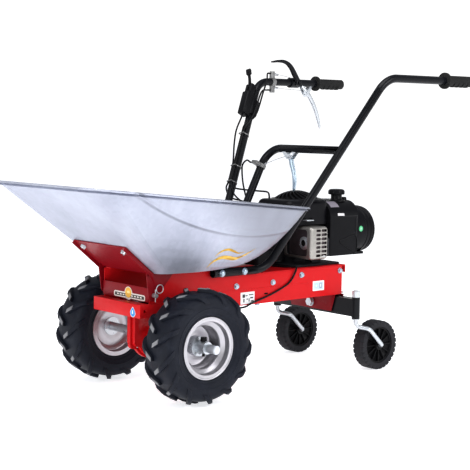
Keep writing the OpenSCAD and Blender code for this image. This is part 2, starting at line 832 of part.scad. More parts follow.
// Outline of a belt's loop round both pulleys, with radii a at the gearbox and b at the crank
module belt_outline(a, b) {
    far = crank_reach - worm_y;
    lean = asin((a - b) / far);
    translate([0, worm_y]) circle(r = a, $fn = 96);
    translate([0, crank_reach]) circle(r = b, $fn = 96);
    polygon([[a * cos(lean), worm_y + a * sin(lean)], [b * cos(lean), crank_reach + b * sin(lean)],
        [-b * cos(lean), crank_reach + b * sin(lean)], [-a * cos(lean), worm_y + a * sin(lean)]]);
}

module drive_belt() {
    gap = seat_gap;
    color(black) placed() translate([0, 0, belt_z - belt_h / 2]) linear_extrude(belt_h) difference() {
        belt_outline(driven_pulley_r + belt_t, drive_pulley_r + belt_t);
        belt_outline(driven_pulley_r + gap, drive_pulley_r + gap);
    }
}

// Worm shaft: a vertical shaft with the worm at the axle's height and the pulley on top
module worm_shaft() {
    worm_len = 40;
    color(zinc) placed() translate([0, worm_y, 0]) {
        difference() {
            union() {
                translate([0, 0, 134]) cylinder(r = worm_shaft_r, h = belt_z + 22 - 134);
                translate([0, 0, axle_z - worm_len / 2]) cylinder(r = worm_r, h = worm_len);
            }
            for (i = [0:4]) translate([0, 0, axle_z - worm_len / 2 + 4 + 7 * i]) difference() {
                cylinder(r = worm_r + 1, h = 3.5);
                translate([0, 0, -1]) cylinder(r = worm_r - 3.5, h = 6);
            }
        }
        translate([0, 0, belt_z]) pulley(driven_pulley_r, worm_shaft_r);
    }
}

module worm_wheel() {
    teeth = 20;
    color("goldenrod") placed() translate([0, 0, axle_z]) difference() {
        bar_x(worm_wheel_r, -11, 11);
        bar_x(axle_r + run_gap, -12, 12);
        for (i = [0:teeth - 1]) rotate([360 * i / teeth, 0, 0])
            block([-12, worm_wheel_r - 4, -2.6], [12, worm_wheel_r + 2, 2.6]);
    }
}

module axle_shaft() {
    color(zinc) placed() translate([0, 0, axle_z]) difference() {
        union() {
            bar_x(axle_r, -axle_len / 2 + 2, axle_len / 2 - 2);
            both_sides() translate([axle_len / 2 - 2, 0, 0]) bar_x(axle_r - 2, 0, 2);
        }
        both_sides() translate([axle_groove, 0, 0]) difference() {
            bar_x(axle_r + 1, 0, 1.6);
            bar_x(axle_r - 0.8, -1, 3);
        }
        both_sides() translate([half_track + hub_len / 2 - 8, 0, -axle_r - 1])
            cylinder(r = lock_pin_r + run_gap, h = axle_d + 2);
    }
}

// Wheel hub tubes, welded to the rim discs and pinned to the axle
module wheel_hubs() {
    x0 = half_track + rim_disc_at + rim_wall;
    color(zinc) placed() translate([0, 0, axle_z]) both_sides() difference() {
        union() {
            bar_x(hub_base_r, x0, x0 + hub_base_len);
            bar_x(hub_r, x0, x0 + hub_len);
        }
        bar_x(axle_r + run_gap, x0 - 1, x0 + hub_len + 1);
        translate([half_track + hub_len / 2 - 8, 0, -hub_r - 1])
            cylinder(r = lock_pin_r + run_gap, h = hub_r * 2 + 2);
    }
}

// Black lock pins through hub and axle, with a plastic head
module lock_pins() {
    color(black) placed() both_sides() translate([half_track + hub_len / 2 - 8, 0, axle_z]) {
        translate([0, 0, -hub_r - 8]) cylinder(r = lock_pin_r, h = hub_r * 2 + 10);
        translate([0, 0, hub_r + seat_gap]) cylinder(r = 9, h = 11);
    }
}

// Steel rim: flanges, bead seats, a well, and a disc set deep inside
module rim() {
    h = rim_w / 2;
    f = rim_flange_r;
    s = rim_seat_r;
    w = rim_well_r;
    t = rim_wall;
    translate([half_track, 0, axle_z]) turned_x() {
        polygon([[f, -h], [f, -h + t], [s, -h + t], [s, -26], [w, -20], [w, 20], [s, 26], [s, h - t],
            [f, h - t], [f, h], [s - t, h], [s - t, 27], [w - t, 21], [w - t, -21], [s - t, -27], [s - t, -h]]);
        translate([axle_r + 2, rim_disc_at]) square([w - t / 2 - axle_r - 2, t]);
    }
}

module rim_left() {
    color(silver) placed() rim();
}

module rim_right() {
    color(silver) placed() mirror([1, 0, 0]) rim();
}

// One side of a rounded tyre section: [radius, x] at angle a
function flat_cos(a, p) = sign(cos(a)) * pow(abs(cos(a)), p);
function section(a, half, low, mid, high) = [sin(a) > 0
    ? mid + (high - mid) * pow(sin(a), 0.7) : mid - (mid - low) * pow(-sin(a), 0.9),
    half * flat_cos(a, 0.55)];
bead_r = rim_seat_r + 0.3;
bead_half = rim_w / 2 - rim_wall - 0.3;
belly_r = 112;

// Hollow tyre carcass that sits between the rim's flanges
module carcass_section() {
    over_flange = rim_flange_r + 1;
    polygon(concat([for (a = [-30:10:210]) section(a, tyre_w / 2, bead_r - 6, belly_r, carcass_r)],
        [[over_flange, -bead_half], [bead_r, -bead_half], [bead_r, -bead_half + 8]],
        [for (a = [215:-10:-35]) section(a, tyre_w / 2 - 7, bead_r, belly_r, carcass_r - 8)],
        [[bead_r, bead_half - 8], [bead_r, bead_half], [over_flange, bead_half]]));
}

module tread() {
    intersection() {
        turned_x() polygon(concat([for (a = [2:11:178]) section(a, tyre_w / 2, bead_r, belly_r, axle_z)],
            [for (a = [178:-22:2]) section(a, tyre_w / 2 - 4, bead_r, belly_r, carcass_r - 4)]));
        for (side = [0, 1]) for (i = [0:lug_count - 1])
            rotate([360 * (i + 0.5 * side) / lug_count, 0, 0]) mirror([side, 0, 0])
                translate([3, 0, carcass_r - 30]) rotate([0, 0, 38]) translate([0, -8, 0]) cube([90, 15, 50]);
    }
}

module tyre() {
    translate([half_track, 0, axle_z]) {
        turned_x() carcass_section();
        tread();
    }
}

module tyre_left() {
    color(rubber) placed() tyre();
}

module tyre_right() {
    color(rubber) placed() mirror([1, 0, 0]) tyre();
}

// Belt tensioner: an arm on the left foot flange, with a roller outside the belt
module idler_arm() {
    arm_z = chassis_z + sheet + seat_gap;
    run = idler_at - idler_pivot;
    color(silver) placed() difference() {
        union() {
            translate([0, 0, arm_z]) linear_extrude(4) {
                translate(idler_pivot) circle(r = 11);
                translate(idler_at) circle(r = 11);
                translate(idler_pivot) rotate(atan2(run.y, run.x)) translate([0, -9]) square([norm(run), 18]);
            }
            translate([idler_at.x, idler_at.y, arm_z]) cylinder(r = 5, h = belt_z + 9 - arm_z);
            translate([idler_at.x, idler_at.y, belt_z - 8]) cylinder(r = idler_r, h = 16);
        }
        translate([idler_pivot.x, idler_pivot.y, arm_z - 1]) cylinder(r = frame_bolt_r + run_gap, h = 6);
    }
}

// Shift arm on the left of the gearbox, where the reverse cable ends
module shift_arm() {
    color(zinc) placed() translate([0, shift_at.x, shift_at.y]) {
        bar_x(5, 13, case_half + 8);
        blade([[0, 0], [8, -28]], [10, 7], case_half + 2, case_half + 7);
        translate([0, 8, -28]) bar_x(3, case_half + 2, case_half + 16);
    }
}

// ---- Engine ----

// Crankcase on its base flange, with the finned cylinder pointing forward
module engine_block() {
    base_top = engine_z + base_t;
    color(black) placed() difference() {
        union() {
            block([-90, 488, engine_z], [90, 690, base_top]);
            translate([0, crank_reach, base_top]) cylinder(r = case_r, h = shroud_z - base_top - 1, $fn = 96);
            block([-64, 484, 392], [-8, crank_reach, 452]);
            for (i = [0:5]) block([-72, 486 + 9 * i, 384], [-1, 489 + 9 * i, 460]);
            block([-70, 476, 384], [-2, 484, 460]);
            block([-70, 600, base_top], [56, 640, 430]);
        }
        translate([0, crank_reach, engine_z - 1]) cylinder(r = crank_r + 2, h = 30);
        translate([0, crank_reach, engine_z + 20]) cylinder(r = case_r - 10, h = 90);
        translate([0, crank_reach, 430]) cylinder(r = crank_r + 2, h = 60);
    }
}

// Blower housing over the engine
module engine_shroud() {
    half = 82;
    low = shroud_z;
    color(black) placed() difference() {
        union() {
            hull() {
                block([-half, 476, low], [half, 640, low + 50]);
                block([-half + 18, 492, low], [half - 18, 640, shroud_top]);
            }
            block([-half, 640, low], [half, 651, low + 50]);
        }
        translate([0, crank_reach, low - 1]) cylinder(r = case_r + 6, h = 46);
        translate([0, crank_reach, low - 1]) cylinder(r = grille_r - 8, h = 90);
    }
}

// Domed grille over the flywheel, with slots between curved bars
module starter_grille() {
    dome = 30;
    ball = (grille_r * grille_r + dome * dome) / (2 * dome);
    module cap(drop) {
        intersection() {
            translate([0, 0, dome - ball]) sphere(r = ball - drop, $fn = 96);
            cylinder(r = grille_r - drop, h = dome + 1, $fn = 96);
        }
    }
    color(black) placed() translate([0, crank_reach, shroud_top]) difference() {
        cap(0);
        translate([0, 0, -0.01]) cap(3);
        for (i = [0:17]) rotate(20 * i) translate([26, -3, 3]) cube([44, 6, dome]);
    }
}

// Fuel tank behind the blower housing, with a filler neck
module fuel_tank() {
    s = tank_side;
    color(black) placed() {
        difference() {
            union() {
                plate_xz(654, 768) polygon([[-s + 14, 366], [s - 14, 366], [s, 380], [s, 490],
                    [s - 38, 538], [-s + 38, 538], [-s, 490], [-s, 380]]);
                translate([cap_at.x, cap_at.y, 530]) cylinder(r = 18, h = 29);
            }
            plate_xz(658, 764) polygon([[-s + 18, 370], [s - 18, 370], [s - 4, 384], [s - 4, 488],
                [s - 40, 534], [-s + 40, 534], [-s + 4, 488], [-s + 4, 384]]);
            translate([cap_at.x, cap_at.y, 520]) cylinder(r = 15, h = 50);
        }
        translate([40, 752, 538 + seat_gap]) cylinder(r = 9, h = 10);
        for (x = [-60, 42]) block([x, 672, engine_z + base_t], [x + 18, 688, 366]);
    }
}

module fuel_cap() {
    color(black) placed() translate([cap_at.x, cap_at.y, 559 + seat_gap]) {
        cylinder(r = 27, h = 18);
        translate([0, 0, -12]) cylinder(r = 15 - run_gap, h = 12);
    }
}

// Muffler box beside the cylinder, with a round outlet at the front
module muffler() {
    color(zinc) placed() difference() {
        union() {
            block([62, guard_front + 6, muffler_low + 6], [guard_x - 6, 602, muffler_high - 6]);
            translate([88, 0, 414]) bar_y(11, guard_front - 4, guard_front + 7);
            block([case_r + 0.5, 560, 400], [62, 590, 430]);
        }
        translate([88, 0, 414]) bar_y(8, guard_front - 5, guard_front + 20);
    }
}

// Perforated heat guard round the muffler
module muffler_guard() {
    t = 1.6;
    color(silver) placed() difference() {
        union() {
            block([4, guard_front, muffler_low], [guard_x, guard_front + t, muffler_high]);
            block([guard_x - t, guard_front, muffler_low], [guard_x, 606, muffler_high]);
            block([60, guard_front, muffler_high - t], [guard_x, 606, muffler_high]);
        }
        for (i = [0:6]) for (j = [0:1])
            block([guard_x - t - 1, 545 + 30 * j, muffler_low + 12 + 12.5 * i],
                [guard_x + 1, 567 + 30 * j, muffler_low + 19 + 12.5 * i]);
        translate([88, 0, 414]) bar_y(12, guard_front - 2, guard_front + t + 2);
    }
}

// Round air filter canister with ribs at its rear end
module air_filter() {
    color(black) placed() translate([0, 0, drum_z]) difference() {
        union() {
            bar_y(drum_r, 768 + seat_gap, 842);
            for (i = [0:2]) bar_y(drum_r - 2 - 6 * i, 842 + 11 * i, 850 + 11 * i);
            bar_y(drum_r - 20, 842, 880);
        }
        bar_y(drum_r - 4, 774, 838);
    }
}

// Crankshaft: pulley below the deck, flywheel above the crankcase
module crankshaft() {
    color(silver) placed() translate([0, crank_reach, 0]) {
        translate([0, 0, belt_z - 16]) cylinder(r = crank_r, h = shroud_z + 40 - belt_z + 16);
        translate([0, 0, belt_z]) pulley(drive_pulley_r, crank_r);
        difference() {
            translate([0, 0, shroud_z + 16]) cylinder(r = grille_r - 14, h = 26);
            for (i = [0:11]) rotate(30 * i) translate([30, -4, shroud_z + 24]) cube([60, 8, 30]);
        }
    }
}

// ---- Rear castors ----

module castor_beam() {
    color(black) placed() difference() {
        union() {
            block([-stem_x, stem_y - beam_depth / 2, beam_bottom],
                [stem_x, stem_y + beam_depth / 2, beam_top]);
            both_sides() translate([stem_x, stem_y, stem_low]) cylinder(r = stem_tube_r, h = stem_high - stem_low);
        }
        block([-stem_x + 20, stem_y - beam_depth / 2 + 3, beam_bottom + 3],
            [-12, stem_y + beam_depth / 2 - 3, beam_top - 3]);
        block([12, stem_y - beam_depth / 2 + 3, beam_bottom + 3],
            [stem_x - 20, stem_y + beam_depth / 2 - 3, beam_top - 3]);
        both_sides() translate([stem_x, stem_y, stem_low - 1])
            cylinder(r = rod_r + run_gap, h = stem_high - stem_low + 2);
        translate([0, 0, beam_mid_z]) bar_y(beam_bolt_r + run_gap, stem_y - 20, stem_y + 20);
    }
}

// Pivot bolt of the swinging beam
module beam_bolt() {
    front = stem_y - beam_depth / 2 - 6;
    back = stem_y + beam_depth / 2 + 6;
    color(zinc) placed() translate([0, 0, beam_mid_z]) {
        bar_y(beam_bolt_r, front - 4, back + 14);
        bar_y(15, front - 2.5, front);
        translate([0, front - 2.5, 0]) rotate([90, 0, 0]) cylinder(r = 13.8, h = 9, $fn = 6);
        translate([0, back + 12, 0]) rotate([90, 0, 0]) cylinder(r = 13.8, h = 11.7, $fn = 6);
    }
}

// Bent zinc rod: stem, sweep round the wheel's left face, then the wheel's axle
module castor_stem(x) {
    out = castor_w / 2 + rod_r + 4;
    axle_h = castor_d / 2;
    color(zinc) placed() translate([x, stem_y, 0]) {
        bent_tube([[0, 0, stem_high + 22], [0, 0, 148], [out, 30, 140], [out, castor_trail, axle_h],
            [-castor_w / 2 - 4, castor_trail, axle_h]], [18, 18, 10], rod_r);
        translate([0, 0, stem_high + seat_gap]) difference() {
            cylinder(r = 12.5, h = 20);
            translate([0, 0, -1]) cylinder(r = rod_r, h = 22);
        }
        translate([0, 0, stem_low - seat_gap - 2.5]) difference() {
            cylinder(r = 12.5, h = 2.5);
            translate([0, 0, -1]) cylinder(r = rod_r, h = 5);
        }
    }
}

module castor_stem_left() {
    castor_stem(stem_x);
}

module castor_stem_right() {
    castor_stem(-stem_x);
}

module castor_wheel_at(x) {
    placed() translate([x, stem_y + castor_trail, castor_d / 2]) children();
}

castor_seat_r = castor_d / 2 - 21;

module castor_rim() {
    half = castor_w / 2;
    difference() {
        union() {
            bar_x(castor_seat_r, -half + 5, half - 5);
            bar_x(16, -half, half);
        }
        for (s = [-1, 1]) translate([s > 0 ? half - 13 : -half - 1, 0, 0]) difference() {
            bar_x(castor_seat_r - 5, 0, 14);
            bar_x(16, -1, 15);
            for (i = [0:11]) rotate([30 * i, 0, 0]) block([-1, 10, -1.2], [15, castor_seat_r, 1.2]);
        }
        bar_x(rod_r + run_gap, -half - 1, half + 1);
    }
}

module castor_tyre() {
    half = castor_w / 2;
    r = castor_d / 2;
    turned_x() polygon([[castor_seat_r + run_gap, -half + 4], [r - 12, -half], [r - 5, -half + 2],
        [r - 1, -half + 7], [r, -half + 14], [r, half - 14], [r - 1, half - 7], [r - 5, half - 2],
        [r - 12, half], [castor_seat_r + run_gap, half - 4]]);
}

module castor_rim_left() {
    color(black) castor_wheel_at(stem_x) castor_rim();
}

module castor_rim_right() {
    color(black) castor_wheel_at(-stem_x) castor_rim();
}

module castor_tyre_left() {
    color(rubber) castor_wheel_at(stem_x) castor_tyre();
}

module castor_tyre_right() {
    color(rubber) castor_wheel_at(-stem_x) castor_tyre();
}

// ---- Tub ----

// Corner list of a plan outline, counter-clockwise from the left front, each [x, y, radius]
function both_corners(left) = concat(left, [for (i = [len(left) - 1:-1:0]) [-left[i].x, left[i].y, left[i].z]]);
function flat2(p) = [p.x, p.y];
function corner_points(a, b, c, r) = let (
    u = unit(flat2(b) - flat2(a)), v = unit(flat2(c) - flat2(b)),
    turn = acos(u * v), n = (v - u * cos(turn)) / sin(turn),
    start = flat2(b) - u * r * tan(turn / 2), o = start + n * r)
    [for (k = [0:corner_steps]) let (q = turn * k / corner_steps) o - n * r * cos(q) + u * r * sin(q)];
function plan_loop(left) = let (c = both_corners(left), m = len(c))
    [for (i = [0:m - 1]) each corner_points(c[(i + m - 1) % m], c[i], c[(i + 1) % m], c[i].z)];
function curve_loop() = let (c = concat(curve_left, [for (i = [2:-1:0]) curve_left[i]]), m = len(c))
    [for (i = [0:m - 1]) for (k = [0:corner_steps]) let (q = k / corner_steps,
        before = (c[(i + m - 1) % m] + c[i]) / 2, after = (c[i] + c[(i + 1) % m]) / 2)
        q < 0.5 ? before + (c[i] - before) * 2 * q : c[i] + (after - c[i]) * (2 * q - 1)];

// The tub is one closed skin: outer wall, rolled rim, inner wall and both faces of the floor
module tub() {
    lip = plan_loop(lip_left);
    foot = plan_loop(floor_left);
    curve = curve_loop();
    n = len(lip);
    function out_at(i) = let (d = lip[(i + 1) % n] - lip[(i + n - 1) % n]) unit([d.y, -d.x]);
    function wall_at(i, s, inset) = let (p = foot[i] + (lip[i] - foot[i]) * s - out_at(i) * inset,
        top = rim_z - rim_fall * lip[i].y)
        [p.x, p.y, tub_floor + (top - tub_floor) * pow(s, curve[i]) + inset * (1 - 0.5 * s)];
    function roll_at(i, q) = let (p = lip[i] + out_at(i) * (roll_r * (1 - cos(q)) - tub_wall),
        top = rim_z - rim_fall * lip[i].y) [p.x, p.y, top + roll_r * sin(q)];
    rings = concat(
        [for (k = [0:wall_steps]) [for (i = [0:n - 1]) wall_at(i, k / wall_steps, 0)]],
        [for (k = [1:roll_steps]) [for (i = [0:n - 1]) roll_at(i, -30 + 300 * (1 - k / roll_steps) - 60)]],
        [for (k = [wall_steps:-1:0]) [for (i = [0:n - 1]) wall_at(i, k / wall_steps, tub_wall)]]);
    m = len(rings);
    points = concat([for (r = rings) each r], [[0, 60, tub_floor], [0, 60, tub_floor + tub_wall]]);
    skin = [for (k = [0:m - 2]) for (i = [0:n - 1]) let (a = k * n, j = (i + 1) % n)
        each [[a + i, a + n + i, a + j], [a + j, a + n + i, a + n + j]]];
    under = [for (i = [0:n - 1]) [m * n, i, (i + 1) % n]];
    over = [for (i = [0:n - 1]) [m * n + 1, (m - 1) * n + (i + 1) % n, (m - 1) * n + i]];
    color(galvanised) placed() polyhedron(points, concat(skin, under, over), convexity = 6);
}

// Cradle under the tub: a floor plate, a leaning front panel and cheeks down to the tilt pin
module tub_bracket() {
    lean = atan2(rim_z - rim_fall * lip_left[0].y - tub_floor, floor_left[0].y - lip_left[0].y);
    fold_y = floor_left[0].y;
    top = tub_floor;
    color(dark_red) placed() difference() {
        union() {
            block([-cradle_half, fold_y, top - sheet], [cradle_half, cradle_rear, top]);
            translate([0, fold_y, top]) rotate([-lean, 0, 0]) {
                block([-panel_half, -panel_len, -sheet - seat_gap], [panel_half, 0, -seat_gap]);
                both_sides() block([panel_half, -panel_len, -sheet - seat_gap - 9], [panel_half + sheet, 0, -seat_gap]);
            }
            both_sides() {
                plate_yz(cheek_x, cheek_x + sheet) polygon([[fold_y - 16, top + 8], [fold_y - 20, top - 4],
                    [pin_y - 17, pin_z], [pin_y + 17, pin_z], [-10, top - sheet - 2], [-10, top - 1], [fold_y, top - 1]]);
                plate_yz(cheek_x, cheek_x + sheet) translate([pin_y, pin_z]) circle(r = 17);
                block([cradle_half, fold_y, top - sheet], [cheek_x, -10, top]);
            }
        }
        translate([0, pin_y, pin_z]) bar_x(pin_r + run_gap, -cheek_x - 10, cheek_x + 10);
        translate([0, fold_y, top]) rotate([-lean, 0, 0]) both_sides()
            translate([tub_bolt_x, -panel_len + 22, -10]) cylinder(r = frame_bolt_r + run_gap, h = 20);
    }
}

// Wing-headed bolts that hold the tub to its front panel
module tub_bolts() {
    lean = atan2(rim_z - rim_fall * lip_left[0].y - tub_floor, floor_left[0].y - lip_left[0].y);
    color(zinc) placed() translate([0, floor_left[0].y, tub_floor]) rotate([-lean, 0, 0])
        both_sides() translate([tub_bolt_x, -panel_len + 22, 0]) {
            translate([0, 0, -sheet - seat_gap - 4]) cylinder(r = frame_bolt_r, h = sheet + 4);
            translate([0, 0, -sheet - seat_gap - 2]) cylinder(r = 9, h = 2);
            for (a = [0, 90]) rotate(a + 20) block([-8, -2, -sheet - seat_gap - 8], [8, 2, -sheet - seat_gap - 1]);
        }
}

// Tilt pin with a head on the right and a hairpin clip on the left
module pivot_pin() {
    clip_x = cheek_x + sheet + 9;
    color(zinc) placed() translate([0, pin_y, pin_z]) {
        difference() {
            union() {
                bar_x(pin_r, -cheek_x - sheet - 5, clip_x + 6);
                bar_x(10, -cheek_x - sheet - 8, -cheek_x - sheet - seat_gap);
            }
            translate([clip_x, 0, -pin_r - 1]) cylinder(r = 1.6, h = pin_d + 2);
        }
        translate([clip_x, 0, -pin_r - 12]) cylinder(r = 1.5, h = pin_d + 24);
        translate([clip_x, 15 + seat_gap, pin_r + 12]) rotate([90, 0, 90])
            rotate_extrude($fn = 64) translate([12, 0]) circle(r = 1.5, $fn = 16);
    }
}

chassis_side_left();
chassis_side_right();
deck_plate();
front_plate();
front_bumper();
gearbox_plate();
beam_bracket();
handle_left();
handle_right();
cross_tube();
handle_bolts();
frame_bolts();
grip_left();
grip_right();
reverse_hanger();
drive_hanger();
safety_clamp();
cable_clips();
throttle_box();
handle_cables();
reverse_cable();
gearbox_left();
gearbox_right();
engine_block();
engine_shroud();
starter_grille();
fuel_tank();
fuel_cap();
muffler();
muffler_guard();
air_filter();
crankshaft();
drive_belt();
worm_shaft();
worm_wheel();
axle_shaft();
wheel_hubs();
rim_left();
rim_right();
tyre_left();
tyre_right();
lock_pins();
castor_beam();
beam_bolt();
castor_stem_left();
castor_stem_right();
castor_rim_left();
castor_rim_right();
castor_tyre_left();
castor_tyre_right();
tub();
tub_bracket();
tub_bolts();
pivot_pin();
drive_lever();
safety_lever();
reverse_lever();
throttle_lever();
idler_arm();
shift_arm();
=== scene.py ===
# A walk-behind power wheelbarrow: a galvanised tub that tips over a driven axle, a red steel
# chassis with a petrol engine on its deck, rear castors on a rocking beam, and tube handlebars.
import json, math
import bpy, bmesh
from mathutils import Matrix, Vector


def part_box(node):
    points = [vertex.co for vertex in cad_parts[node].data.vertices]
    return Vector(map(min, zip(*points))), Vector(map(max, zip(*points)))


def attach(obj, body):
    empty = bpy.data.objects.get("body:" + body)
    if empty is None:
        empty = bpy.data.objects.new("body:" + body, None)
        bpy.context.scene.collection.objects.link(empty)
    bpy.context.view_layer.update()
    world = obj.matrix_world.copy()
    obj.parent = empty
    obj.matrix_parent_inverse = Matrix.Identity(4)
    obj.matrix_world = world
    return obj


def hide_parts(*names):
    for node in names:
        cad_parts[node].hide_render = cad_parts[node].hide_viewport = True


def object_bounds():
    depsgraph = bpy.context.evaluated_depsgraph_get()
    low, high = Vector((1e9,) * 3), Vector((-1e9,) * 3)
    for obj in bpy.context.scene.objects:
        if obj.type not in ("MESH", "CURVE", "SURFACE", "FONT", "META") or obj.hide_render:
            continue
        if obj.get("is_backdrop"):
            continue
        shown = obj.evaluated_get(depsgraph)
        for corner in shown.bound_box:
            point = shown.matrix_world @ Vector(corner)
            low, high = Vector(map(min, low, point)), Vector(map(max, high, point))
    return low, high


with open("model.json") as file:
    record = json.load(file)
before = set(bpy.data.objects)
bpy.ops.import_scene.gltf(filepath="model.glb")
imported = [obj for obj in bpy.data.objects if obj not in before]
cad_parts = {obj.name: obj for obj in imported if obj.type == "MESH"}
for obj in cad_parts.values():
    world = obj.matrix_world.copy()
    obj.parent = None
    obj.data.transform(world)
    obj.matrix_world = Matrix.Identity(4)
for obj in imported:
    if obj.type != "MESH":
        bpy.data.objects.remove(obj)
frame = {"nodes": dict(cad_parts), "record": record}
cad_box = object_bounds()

# Places are in millimetres: across from the middle, back from the drive axle, and up from the ground.
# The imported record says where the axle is.
joints = frame["record"]["behaviour"]["joints"]
axle = next(Vector(joint["pos_m"]) for joint in joints if joint["name"] == "axle_spin")


def at(x, y, z):
    return Vector((x / 1000, axle.y + y / 1000, z / 1000))


# ---- Studio ----
# A pale seamless floor and backdrop, a large soft light overhead and two softer ones at the sides.
# The camera stands low at the front left, a long way off, so the machine is barely foreshortened.
bpy.ops.object.select_all(action="DESELECT")
bpy.ops.mesh.primitive_plane_add(size=60, location=(0, 0, -0.0005))
floor = bpy.context.object
floor.name = "studio_floor"
floor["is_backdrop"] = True
paper = bpy.data.materials.new("studio_paper")
paper.use_nodes = True
for socket, value in (("Base Color", (0.86, 0.86, 0.865, 1)), ("Roughness", 1.0),
                      ("Specular IOR Level", 0.0), ("Emission Color", (0.97, 0.98, 1, 1)),
                      ("Emission Strength", 0.66)):
    paper.node_tree.nodes["Principled BSDF"].inputs[socket].default_value = value
floor.data.materials.append(paper)

sky = bpy.data.worlds.new("studio_sky")
bpy.context.scene.world = sky
sky.use_nodes = True
sky_light = sky.node_tree.nodes["Background"]
upward = sky.node_tree.nodes.new("ShaderNodeSeparateXYZ")
ramp = sky.node_tree.nodes.new("ShaderNodeValToRGB")
ramp.color_ramp.elements[0].position, ramp.color_ramp.elements[0].color = 0.14, (1, 1, 1, 1)
ramp.color_ramp.elements[1].position, ramp.color_ramp.elements[1].color = 0.40, (0.36, 0.37, 0.39, 1)
direction = sky.node_tree.nodes.new("ShaderNodeTexCoord")
sky.node_tree.links.new(direction.outputs["Generated"], upward.inputs[0])
sky.node_tree.links.new(upward.outputs["Z"], ramp.inputs[0])
sky.node_tree.links.new(ramp.outputs[0], sky_light.inputs["Color"])
sky_light.inputs["Strength"].default_value = 1.06

for name, place, aim, size, power in (
        ("overhead_light", (0.6, -0.8, 3.2), (0, 0, 0.3), 2.6, 78),
        ("left_light", (3.0, 0.9, 1.7), (0, 0.1, 0.4), 1.6, 40),
        ("front_light", (0.3, -3.4, 1.5), (0, -0.1, 0.4), 1.8, 30)):
    bpy.ops.object.light_add(type="AREA", location=place)
    lamp = bpy.context.object
    lamp.name = name
    lamp.data.size = size
    lamp.data.energy = power
    lamp.rotation_euler = (Vector(aim) - Vector(place)).to_track_quat("-Z", "Y").to_euler()

bpy.ops.object.camera_add(location=(2.84555, -2.46009, 0.79414))
camera = bpy.context.object
camera.name = "front_left_camera"
turn, rise, roll = math.radians(49.41), math.radians(5.34), math.radians(0.67)
back = Vector((math.sin(turn) * math.cos(rise), -math.cos(turn) * math.cos(rise), math.sin(rise)))
right = Vector((math.cos(turn), math.sin(turn), 0))
up = back.cross(right)
right, up = right * math.cos(roll) + up * math.sin(roll), up * math.cos(roll) - right * math.sin(roll)
camera.rotation_euler = Matrix((right, up, back)).transposed().to_euler()
camera.data.sensor_width = 36
camera.data.lens = 93.2
camera.data.clip_start = 0.1
bpy.context.scene.camera = camera
bpy.context.scene.view_settings.view_transform = "Standard"
bpy.context.scene.view_settings.gamma = 0.84
bpy.context.scene.view_settings.exposure = 0.12


# ---- Tub ----
# The tub is pressed from one sheet of galvanised steel with its rim rolled over a wire. The zinc
# shows pale blotches and the drawing marks of the press, and one pressed line runs along each side.
class Tone:
    """A number or colour on its way to the shader. Sums on it add Math nodes."""

    def __init__(self, finish, socket):
        self.finish, self.socket = finish, socket

    def _with(self, operation, *values):
        return self.finish.node("ShaderNodeMath", {"operation": operation}, *values)

    def __add__(self, other):
        return self._with("ADD", self, other)

    def __radd__(self, other):
        return self._with("ADD", other, self)

    def __sub__(self, other):
        return self._with("SUBTRACT", self, other)

    def __rsub__(self, other):
        return self._with("SUBTRACT", other, self)

    def __mul__(self, other):
        return self._with("MULTIPLY", self, other)

    def __rmul__(self, other):
        return self._with("MULTIPLY", other, self)

    def __pow__(self, other):
        return self._with("POWER", self, other)

    def __gt__(self, other):
        return self._with("GREATER_THAN", self, other)

    def __lt__(self, other):
        return self._with("LESS_THAN", self, other)

    def __abs__(self):
        return self._with("ABSOLUTE", self)


class Finish:
    """A material being built up on one Principled shader."""

    def __init__(self, name, **plain):
        self.material = bpy.data.materials.new(name)
        self.material.use_nodes = True
        self.tree = self.material.node_tree
        self.shader = self.tree.nodes["Principled BSDF"]
        for socket, value in plain.items():
            self.shader.inputs[socket.replace("_", " ")].default_value = value
        self.place = self.node("ShaderNodeTexCoord", {"out": "Object"})

    def node(self, kind, settings=None, *values, **named):
        new = self.tree.nodes.new(kind)
        settings = dict(settings or {})
        out = settings.pop("out", 0)
        stops = settings.pop("stops", None)
        for key, value in settings.items():
            setattr(new, key, value)
        if stops:
            ramp = new.color_ramp
            while len(ramp.elements) < len(stops):
                ramp.elements.new(0.5)
            for element, (where, grey) in zip(ramp.elements, stops):
                element.position = where
                element.color = (grey, grey, grey, 1) if isinstance(grey, (int, float)) else (*grey, 1)
        for socket, value in [*enumerate(values), *((k.replace("_", " "), v) for k, v in named.items())]:
            if isinstance(value, Tone):
                self.tree.links.new(value.socket, new.inputs[socket])
            else:
                new.inputs[socket].default_value = value
        return Tone(self, new.outputs[out])

    def noise(self, scale, detail=4, rough=0.55, stretch=(1, 1, 1)):
        place = self.node("ShaderNodeMapping", {}, Vector=self.place, Scale=stretch)
        return self.node("ShaderNodeTexNoise", {"out": "Fac"}, Vector=place, Scale=scale, Detail=detail,
                         Roughness=rough)

    def ramp(self, value, *stops):
        return self.node("ShaderNodeValToRGB", {"stops": stops}, value)

    def blend(self, amount, one, other):
        new = self.node("ShaderNodeMix", {"data_type": "RGBA", "out": 2}, amount)
        mix = new.socket.node
        for socket, value in ((6, one), (7, other)):
            if isinstance(value, Tone):
                self.tree.links.new(value.socket, mix.inputs[socket])
            else:
                mix.inputs[socket].default_value = (*value, 1)
        return new

    def axes(self):
        split = self.node("ShaderNodeSeparateXYZ", {}, self.place).socket.node
        return [Tone(self, split.outputs[i]) for i in range(3)]

    def feed(self, **tones):
        for socket, tone in tones.items():
            self.tree.links.new(tone.socket, self.shader.inputs[socket.replace("_", " ")])
        return self

    def bump(self, height, depth):
        return self.feed(Normal=self.node("ShaderNodeBump", {}, Height=height, Distance=depth, Strength=1.0))


